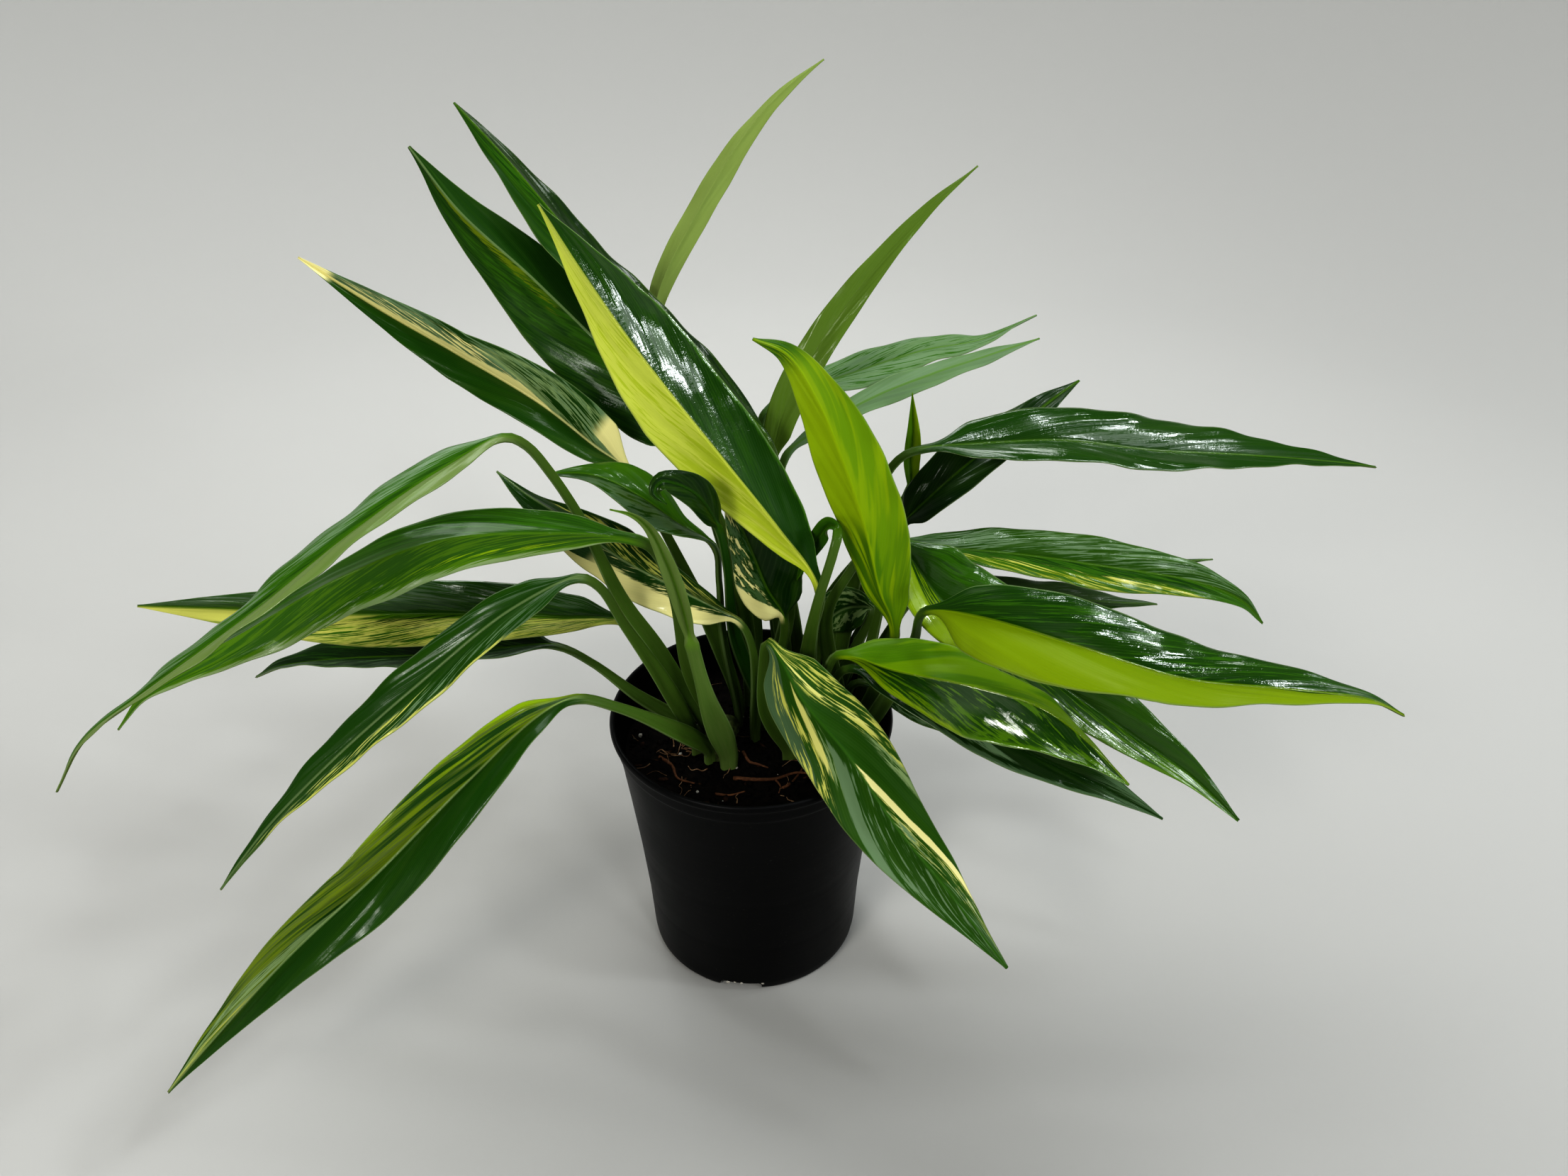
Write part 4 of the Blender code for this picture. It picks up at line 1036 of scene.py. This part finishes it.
@dataclass
class NurseryPot:
    """Round tapered pot with a rolled rim, a step under it and four drainage notches."""

    height: float = 170.0
    rim_radius: float = 82.5
    foot_radius: float = 62.5
    floor: float = 2.0
    sides: int = 192
    notch_width: float = 26.0
    notch_height: float = 7.5
    notch_round: float = 2.4
    notch_count: int = 4
    notch_turn: float = -7.0
    finish: PotFinish = field(default_factory=PotFinish)

    def profile(self) -> list[tuple[float, float]]:
        """Radius and height along the wall: up the inside, over the rim, down the outside."""
        top = self.height
        inner = [(0, self.floor), (59.0, self.floor), (62.0, 4.0), (64.4, 40), (67.9, 80), (72.4, 120),
                 (76.2, 151), (77.9, 157), (78.3, 163.6), (77.9, 164.4), (78.4, 165.2), (78.7, 167.4)]
        rim = [(79.6, top - 0.6), (81.2, top), (self.rim_radius, top - 2), (82.2, 165.6), (80.5, 164.5)]
        outer = [(80.1, 163.2), (79.7, 157.2), (79.2, 156.4), (78.5, 155.6), (78.2, 154.4), (74, 120),
                 (69.5, 80), (66, 40), (64.3, 8), (63.6, 3.4), (61.8, 0.7)]
        return inner + rim + outer + [(58.6, 0), (0, 0)]

    def rounded(self, profile: list, reach: float = 1.4) -> list[tuple[float, float]]:
        """Round the corners of a profile.

        Args:
            profile: radius and height of its points.
            reach: how far from a corner the round starts, at most.

        Returns:
            The rounded profile.
        """
        points = [Vector(p) for p in profile]
        result = [tuple(points[0])]
        for before, corner, after in zip(points, points[1:], points[2:]):
            start = corner + (before - corner).normalized() * min(reach, (before - corner).length * 0.45)
            end = corner + (after - corner).normalized() * min(reach, (after - corner).length * 0.45)
            for u in (0.0, 0.33, 0.67, 1.0):
                result.append(tuple(start * (1 - u) ** 2 + corner * 2 * u * (1 - u) + end * u * u))
        return result + [tuple(points[-1])]

    def notch(self, index: int) -> bpy.types.Object:
        """Rounded block that cuts one drainage notch."""
        through, under = 16, 4
        shape = bmesh.new()
        bmesh.ops.create_cube(shape, size=1.0)
        for vert in shape.verts:
            vert.co.x *= self.notch_width * MM
            vert.co.y = (vert.co.y * through - self.foot_radius + 1) * MM
            vert.co.z = ((vert.co.z + 0.5) * (self.notch_height + under) - under) * MM
        upper = [e for e in shape.edges if all(v.co.z > 0 for v in e.verts)]
        along_y = [e for e in upper if abs(e.verts[0].co.x - e.verts[1].co.x) < 0.00001]
        bmesh.ops.bevel(shape, geom=along_y, offset=self.notch_round * MM, segments=5, profile=0.5,
                        affect="EDGES")
        mesh = bpy.data.meshes.new("notch")
        shape.to_mesh(mesh)
        shape.free()
        cutter = add_object("notch_%d" % index, mesh)
        cutter.rotation_euler.z = math.radians(index * 360 / self.notch_count + self.notch_turn)
        return cutter

    def build(self) -> bpy.types.Object:
        """Make the pot, cut its notches and dress it."""
        line = self.rounded(self.profile())
        rings = [ring(radius, height, self.sides) for radius, height in line[1:-1]]
        points, faces = turned(rings, line[0][1], line[-1][1])
        pot = add_piece("nursery_pot", points, faces, self.finish.material(), "pot_plastic")
        cutters = [self.notch(index) for index in range(self.notch_count)]
        for cutter in cutters:
            cut = pot.modifiers.new(cutter.name, "BOOLEAN")
            cut.operation = "DIFFERENCE"
            cut.solver = "EXACT"
            cut.object = cutter
        bpy.context.view_layer.update()
        view = bpy.context.evaluated_depsgraph_get()
        cut_mesh = bpy.data.meshes.new_from_object(pot.evaluated_get(view))
        pot.modifiers.clear()
        pot.data = cut_mesh
        cut_mesh.set_sharp_from_angle(angle=math.radians(38))
        for cutter in cutters:
            bpy.data.objects.remove(cutter, do_unlink=True)
        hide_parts("pot")
        return pot


@dataclass(frozen=True)
class GrainFinish:
    """Earthy material of crumbs, bark, roots or perlite."""

    name: str
    dark: Tint
    light: Tint
    roughness: float = 0.9
    scale: float = 260.0
    depth: float = 0.0006

    def material(self) -> bpy.types.Material:
        """Make the material: two tints mixed by noise, with a rough relief."""
        pen = ShaderPen(self.name)
        place = pen.place()
        cloud = pen.noise(place, self.scale, 4.0, 0.65)
        grain = pen.noise(place, self.scale * 5.0, 3.0, 0.6)
        colour = pen.blend(pen.step(cloud, 0.38, 0.68), self.dark, self.light)
        rough = pen.line(grain, 0.2, self.roughness - 0.12)
        pen.bump(pen.line(cloud, 0.7, pen.times(grain, 0.3)), self.depth, 0.8)
        return pen.finish(colour, rough, Specular_IOR_Level=0.12)


PEAT_FINISH = GrainFinish("moist_peat", (0.002, 0.0015, 0.001), (0.009, 0.006, 0.004), 0.92)
BARK_FINISH = GrainFinish("bark", (0.020, 0.010, 0.006), BARK, 0.85, 420.0)
ROOT_FINISH = GrainFinish("root_skin", (0.090, 0.042, 0.022), ROOT_BROWN, 0.7, 500.0, 0.0003)
FINE_ROOT_FINISH = GrainFinish(
    "fine_root_skin", (0.150, 0.085, 0.045), (0.330, 0.220, 0.130), 0.7, 500.0, 0.0002)
PERLITE_FINISH = GrainFinish("perlite", (0.300, 0.280, 0.240), PERLITE, 0.9, 900.0, 0.0003)
CROWN_FINISH = GrainFinish("crown_skin", (0.040, 0.055, 0.018), (0.130, 0.160, 0.050), 0.6, 160.0, 0.0004)


@dataclass(frozen=True)
class Lump:
    """How the small lumps of one kind look.

    Attributes:
        stretch: how long, wide and thick a lump is next to its size.
        rough: how uneven it is.
        finish: its material.
    """

    stretch: Point
    rough: float
    finish: GrainFinish


@dataclass
class PottingMix:
    """Potting mix that fills the pot to under the rim, with what lies on it.

    Attributes:
        top: height of its surface.
        radius: radius of its surface.
        crumbs: number of loose crumbs.
        chips: number of bark chips.
        grains: number of scattered perlite grains.
        fibres: number of thin scattered roots.
        tangle: how many of them lie in a tangle at the left.
        seed: seed of what is scattered.
        noted_grains: perlite grains that show best, x and y.
        notch_grains: grains at the front notch, x, y and z.
        roots: roots that lie on the mix: points, and the radius at the thick end.
    """

    top: float = 145.0
    radius: float = 75.0
    crumbs: int = 800
    chips: int = 90
    grains: int = 26
    fibres: int = 46
    tangle: int = 16
    seed: int = 7
    noted_grains: tuple = ((-67, 8), (-42, -8), (-29, 0), (-6, 24), (13, 22))
    notch_grains: tuple = ((-15, -62.1, 7.0), (-11, -62.8, 7.6), (-7, -63.3, 7.4), (6, -63.2, 7.2))
    roots: tuple = (
        (((-10, -30), (2, -33), (14, -31), (26, -27), (36, -28)), 1.3),
        (((-5, -9), (-1, -17), (4, -20), (10, -23)), 1.1),
        (((18, -38), (22, -36), (25, -32), (30, -22)), 1.1),
        (((-54, -12), (-46, -20), (-42, -31), (-32, -36)), 1.2),
        (((-20, -42), (-12, -44), (-3, -43)), 0.9),
        (((14, -31), (17, -36), (16, -42)), 0.7),
    )

    def height(self, x: float, y: float) -> float:
        """Height of the surface at a place, in mm."""
        far = math.hypot(x, y) / self.radius
        swells = 2.4 * noise.noise(Vector((x / 19, y / 19, 1.3)))
        bumps = 1.3 * noise.noise(Vector((x / 7, y / 7, 5.1)))
        crumbs = 1.0 * noise.noise(Vector((x / 2.6, y / 2.6, 9.7)))
        return self.top - 0.6 + (swells + bumps + crumbs) * (1 - 0.5 * far ** 6) - 0.8 * far ** 4

    def body(self) -> bpy.types.Object:
        """The mix itself: a rough top on a plain closed body."""
        count, sides = 58, 180
        rings = []
        for row in range(1, count + 1):
            flat = ring(self.radius * (row / count) ** 0.9, 0.0, sides)
            rings.append([(x, y, self.height(x, y)) for x, y, _ in flat])
        wall = ((72.0, 120), (67.5, 80), (64.0, 40), (61.0, 5.2), (58.0, 2.4))
        rings += [ring(radius, height, sides) for radius, height in wall]
        points, faces = turned(rings, self.height(0, 0), wall[-1][1])
        piece = add_piece("mix_body", points, faces, PEAT_FINISH.material(), "potting_mix")
        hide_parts("potting_mix")
        return piece

    def lumps(self, name: str, places: list, kind: Lump, seed: int) -> bpy.types.Object:
        """Many small irregular lumps as one piece.

        Args:
            name: the piece's name.
            places: centre and size of each lump.
            kind: how they look.
            seed: seed of their turns and shapes.

        Returns:
            The piece.
        """
        chance = random.Random(seed)
        ball = bmesh.new()
        bmesh.ops.create_icosphere(ball, subdivisions=1, radius=1.0)
        corners = np.array([v.co for v in ball.verts])
        sides = [tuple(v.index for v in f.verts) for f in ball.faces]
        ball.free()
        bodies = []
        for centre, size in places:
            turn, tilt = chance.uniform(0, math.tau), chance.gauss(0, 0.35)
            shape = corners * (1 + kind.rough * np.array([chance.gauss(0, 1) for _ in corners])[:, None])
            shape = shape * size * np.array(kind.stretch)
            shape = shape * np.array([chance.uniform(0.75, 1.25) for _ in range(3)])
            attitude = np.array(Matrix.Rotation(turn, 3, "Z") @ Matrix.Rotation(tilt, 3, "X"))
            bodies.append((shape @ attitude.T + np.array(centre), sides))
        return add_piece(name, *joined(bodies), kind.finish.material(), "potting_mix")

    def scatter(self, count: int, sizes: tuple[float, float], seed: int, sink: float) -> list:
        """Random places on the mix.

        Args:
            count: how many.
            sizes: smallest and largest size in mm.
            seed: seed of the places.
            sink: share of the size that is under the surface.

        Returns:
            Centre and size of each.
        """
        chance, reach = random.Random(seed), self.radius - 2.5
        places = []
        for _ in range(count):
            r, angle = reach * math.sqrt(chance.random()), chance.uniform(0, math.tau)
            size = sizes[0] + (sizes[1] - sizes[0]) * chance.random() ** 2
            x, y = r * math.cos(angle), r * math.sin(angle)
            places.append(((x, y, self.height(x, y) + size * (0.5 - sink)), size))
        return places

    def strands(self, name: str, paths: list, finish: GrainFinish) -> bpy.types.Object:
        """Roots as one mesh of tapered tubes.

        Args:
            name: the piece's name.
            paths: points and thick-end radius of each root, in mm.
            finish: their material.

        Returns:
            The piece.
        """
        sides, taper, knobs = 8, 0.55, 0.16
        bodies = []
        for track, radius in paths:
            line = smooth_line(track, 6)
            ahead = unit(np.gradient(line, axis=0))
            across = unit(np.cross(ahead, np.array([0.03, 0.02, 1.0])))
            above = np.cross(across, ahead)
            points = []
            for i, place in enumerate(line):
                knot = 1 + knobs * noise.noise(Vector(place) * 0.6)
                r = radius * (1 - taper * i / (len(line) - 1)) * knot
                points += [place + x * across[i] + y * above[i] for x, y, _ in ring(r, 0.0, sides)]
            bodies.append((points, tube_faces(len(line), sides)))
        return add_piece(name, *joined(bodies), finish.material(), "potting_mix")

    def surface_roots(self) -> bpy.types.Object:
        """The thick reddish roots that lie on the mix."""
        paths = [([(x, y, self.height(x, y) + 0.7 * radius) for x, y in track], radius)
                 for track, radius in self.roots]
        return self.strands("surface_roots", paths, ROOT_FINISH)

    def fine_roots(self) -> bpy.types.Object:
        """Thin pale roots, some of them in a tangle at the left."""
        chance = random.Random(self.seed + 3)
        step, reach, edge = 3.2, 68, 72
        paths = []
        for index in range(self.fibres):
            if index < self.tangle:
                x, y = chance.gauss(-38, 7), chance.gauss(-6, 5)
            else:
                r, angle = reach * math.sqrt(chance.random()), chance.uniform(0, math.tau)
                x, y = r * math.cos(angle), r * math.sin(angle)
            heading, track = chance.uniform(0, math.tau), []
            for _ in range(chance.randint(4, 6)):
                lift = chance.uniform(0.2, 1.6)
                if math.hypot(x, y) > edge:
                    break
                track.append((x, y, self.height(x, y) + lift))
                heading += chance.gauss(0, 0.5)
                x, y = x + step * math.cos(heading), y + step * math.sin(heading)
            if len(track) > 2:
                paths.append((track, chance.uniform(0.22, 0.5)))
        return self.strands("fine_roots", paths, FINE_ROOT_FINISH)

    def build(self) -> list[bpy.types.Object]:
        """Make the mix and everything on it."""
        seed = self.seed
        grains = self.scatter(self.grains, (0.5, 1.4), seed + 1, 0.2)
        grains += [((x, y, self.height(x, y) + 0.8), 1.5) for x, y in self.noted_grains]
        grains += [(place, 1.3) for place in self.notch_grains]
        crumbs = self.scatter(self.crumbs, (0.6, 2.6), seed, 0.35)
        chips = self.scatter(self.chips, (1.2, 3.6), seed + 2, 0.3)
        return [
            self.body(),
            self.lumps("peat_crumbs", crumbs, Lump((1.0, 0.8, 0.6), 0.16, PEAT_FINISH), seed),
            self.lumps("bark_chips", chips, Lump((1.5, 0.6, 0.28), 0.14, BARK_FINISH), seed + 2),
            self.lumps("perlite_grains", grains, Lump((1.0, 0.9, 0.8), 0.12, PERLITE_FINISH), seed + 1),
            self.surface_roots(),
            self.fine_roots(),
        ]


@dataclass
class Crown:
    """Short thick shoots at the mix that the stalks grow from.

    Attributes:
        shoots: place, radius, height and lean of each shoot, in mm.
        sink: how far a shoot reaches down into the mix.
    """

    shoots: tuple = (
        ((-20, -6), 8.5, 13, (-3, -2)), ((-26, 3), 7.0, 11, (-3, 1)), ((-14, 10), 6.5, 10, (-1, 2)),
        ((24, -6), 7.0, 12, (1, -2)), ((48, -2), 8.0, 12, (2, -1)), ((52, 14), 8.0, 11, (2, 1)),
        ((6, 40), 8.0, 10, (0, 2)), ((10, 22), 7.5, 9, (0, 0)), ((34, 56), 8.5, 10, (1, 2)),
        ((50, 42), 7.5, 10, (2, 2)),
    )
    sink: float = 4.0

    def shoot(self, place: tuple, radius: float, height: float, lean: tuple) -> tuple[list, list]:
        """One shoot: a short cone with ring scars and a rounded top.

        Args:
            place: x and y.
            radius: radius at the mix.
            height: height over the mix.
            lean: how far the top is off to the side.

        Returns:
            Points and faces.
        """
        sides, rows = 20, 9
        taper, scar, scars = 0.62, 0.06, 18
        points = []
        for row in range(rows):
            share = row / (rows - 1)
            bulge = (1 - taper * share ** 1.5) * (1 + scar * math.cos(share * scars))
            z = MIX_TOP - self.sink + (height + self.sink) * math.sin(share * math.pi / 2)
            for k in range(sides):
                angle = math.tau * k / sides
                lobes = 1 + 0.12 * math.cos(3 * angle + place[0]) + 0.08 * math.cos(5 * angle + place[1])
                r = radius * bulge * lobes
                points.append((place[0] + lean[0] * share + r * math.cos(angle),
                               place[1] + lean[1] * share + r * math.sin(angle), z))
        return points, tube_faces(rows, sides)

    def build(self) -> bpy.types.Object:
        """Make all the shoots as one piece."""
        points, faces = joined([self.shoot(*spec) for spec in self.shoots])
        return add_piece("crown_shoots", points, faces, CROWN_FINISH.material(), "leaf_pale")


@dataclass(frozen=True)
class Window:
    """A soft rectangular light.

    Attributes:
        name: its name.
        turn: degrees clockwise from the back, as seen from the plant.
        rise: degrees up from the floor.
        size: width and height in metres.
        power: power in watts.
        tint: its colour.
        reach: how far it is from the plant in metres.
    """

    name: str
    turn: float
    rise: float
    size: tuple[float, float]
    power: float
    tint: Tint = COOL
    reach: float = 2.3

    def place(self, target: Point) -> Point:
        """Where the light is, in metres, for a plant at the target."""
        turn, rise = math.radians(self.turn), math.radians(self.rise)
        flat = self.reach * math.cos(rise)
        return (target[0] + flat * math.sin(turn), target[1] + flat * math.cos(turn),
                target[2] + self.reach * math.sin(rise))


# The small panes stand 0.05 m in front of the wide windows.
PANE_REACH = 2.25
WINDOWS = (
    Window("window_low", 112, 29, (1.50, 0.50), 4.2),
    Window("window_high", 108, 53, (1.50, 0.50), 4.0),
    Window("window_left", -150, 33, (0.90, 0.60), 14.0, WARM),
    Window("window_back", -34, 43, (1.00, 0.50), 8.0),
    Window("pane_low_right", 101, 31, (0.26, 0.20), 5.5, reach=PANE_REACH),
    Window("pane_low_left", 134, 26, (0.26, 0.20), 3.6, reach=PANE_REACH),
    Window("pane_high_right", 86, 48, (0.26, 0.20), 5.0, reach=PANE_REACH),
    Window("pane_high_middle", 112, 57, (0.20, 0.16), 3.5, reach=PANE_REACH),
    Window("pane_high_left", 158, 48, (0.26, 0.20), 5.0, reach=PANE_REACH),
    Window("pane_left", -150, 33, (0.30, 0.24), 5.0, WARM, PANE_REACH),
)


@dataclass
class Studio:
    """Pale paper bowl with a wide curve, soft lights and the camera.

    Attributes:
        lens: focal length in mm on a sensor of this width.
        sensor: width of the sensor in mm.
        eye: place of the camera in metres.
        pitch: degrees that it looks down.
        radius: radius of the bowl in metres.
        bend: radius of its curve.
        wall: height of its wall.
        paper_tint: colour of the paper.
        painted_dark_wall_tint: painted shade, the dark colour of the wall on the camera's side, which stands for
            an unlit room so that the leaves keep their depth.
        middle: the middle of the plant in metres, which the windows point at.
        ceiling: place, target, size, power and tint of the light over the plant.
        room_tint: colour of the faint light from all round.
        room_strength: its strength.
    """

    lens: float = 30.92
    sensor: float = 36.0
    eye: Point = (0.019, -0.609, 0.670)
    pitch: float = 34.2
    radius: float = 2.6
    bend: float = 1.5
    wall: float = 2.6
    paper_tint: Tint = PAPER
    # Painted shade: dark colour of the wall on the camera's side.
    painted_dark_wall_tint: Tint = (0.090, 0.091, 0.092)
    middle: Point = (0.0, 0.0, 0.30)
    ceiling: tuple = ((0.06, 0.90, 1.75), (0.0, 0.45, 0.0), (1.3, 0.45), 11.0, (0.97, 0.99, 1.0))
    room_tint: Tint = (0.93, 0.95, 1.0)
    room_strength: float = 0.05

    def camera(self) -> None:
        """Camera at the photograph's viewing angle."""
        data = bpy.data.cameras.new("camera")
        data.lens = self.lens
        data.sensor_width = self.sensor
        data.clip_start = 0.01
        eye = add_object("camera", data)
        eye.location = self.eye
        eye.rotation_euler = (math.radians(90 - self.pitch), 0.0, 0.0)
        bpy.context.scene.camera = eye

    def backdrop(self) -> None:
        """Floor that curves up into a wall all round."""
        sides, steps = 128, 32
        flat = self.radius - self.bend
        line = [(0.15, 0.0), (0.4, 0.0), (flat, 0.0)]
        for step in range(1, steps + 1):
            angle = math.pi / 2 * step / steps
            line.append((flat + self.bend * math.sin(angle), self.bend - self.bend * math.cos(angle)))
        line.append((self.radius, self.wall))
        points, faces = turned([ring(r, z, sides) for r, z in line], 0.0)
        add_object("paper_backdrop", new_mesh("paper_backdrop", points, faces, self.paper()))

    def paper(self) -> bpy.types.Material:
        """Matt pale grey paper with a very faint mottle and fine grain, and painted shade: a shadow in front of
        the plant, darker to the back and right, and a dark wall on the camera's side.
        """
        pen = ShaderPen("pale_paper")
        place = pen.place()
        x, y, z = pen.parts(place)
        # Painted shadow on the floor in front of the plant, heavier to the right.
        painted_shadow_front = pen.times(pen.step(y, 0.5, -0.15), pen.step(x, -0.9, 0.35))
        # Painted shade: the paper darkens towards the back and to the right.
        far, right = pen.step(y, 0.7, 2.0), pen.step(x, 0.0, 0.9)
        # Painted shade: the wall on the camera's side turns dark, standing for an unlit room, so that the leaves
        # reflect dark there.
        front = pen.times(pen.step(y, 0.5, -1.5), pen.step(z, 0.45, 1.7))
        colour = self.paper_tint
        for share, shade in ((pen.noise(place, 2.2, 3.0), 0.95), (painted_shadow_front, 0.66), (far, 0.86), (right, 0.84)):
            colour = pen.blend(share, colour, tuple(shade * c for c in self.paper_tint))
        colour = pen.blend(front, colour, self.painted_dark_wall_tint)
        pen.bump(pen.noise(place, 900.0, 2.0), 0.0001, 0.3)
        return pen.finish(colour, 0.85, Specular_IOR_Level=0.2)

    def light(self, name: str, place: Point, target: Point, size: tuple[float, float], power: float,
              tint: Tint) -> None:
        """Add a soft rectangular light.

        Args:
            name: its name.
            place: where it is, in metres.
            target: what it points at.
            size: its width and height in metres.
            power: its power in watts.
            tint: its colour.
        """
        data = bpy.data.lights.new(name, "AREA")
        data.shape = "RECTANGLE"
        data.size, data.size_y = size
        data.energy = power
        data.color = tint
        lamp = add_object(name, data)
        lamp.location = place
        lamp.visible_camera = False
        lamp.rotation_euler = (Vector(target) - Vector(place)).to_track_quat("-Z", "Y").to_euler()

    def build(self) -> None:
        """Set up the backdrop, the lights, the world and the camera."""
        self.backdrop()
        for window in WINDOWS:
            self.light(window.name, window.place(self.middle), self.middle, window.size, window.power,
                       window.tint)
        self.light("ceiling", *self.ceiling)
        world = bpy.data.worlds.new("soft_room")
        world.use_nodes = True
        back = world.node_tree.nodes["Background"]
        back.inputs["Color"].default_value = (*self.room_tint, 1.0)
        back.inputs["Strength"].default_value = self.room_strength
        scene = bpy.context.scene
        scene.world = world
        scene.view_settings.view_transform = "Standard"
        scene.view_settings.look = "High Contrast"
        self.camera()


def main() -> None:
    """Build the whole plant and its studio, and log each piece's face count."""
    logging.basicConfig(level=logging.INFO, format="%(message)s")
    pieces = [NurseryPot().build(), *PottingMix().build(), Crown().build()]
    for index, (name, leaf) in enumerate(LEAVES.items()):
        pieces.append(leaf.build(name, index + 1, FINISHES[name]))
    for piece in pieces:
        log.info("%s: %d faces", piece.name, len(piece.data.polygons))
    Studio().build()


if __name__ == "__main__":
    main()
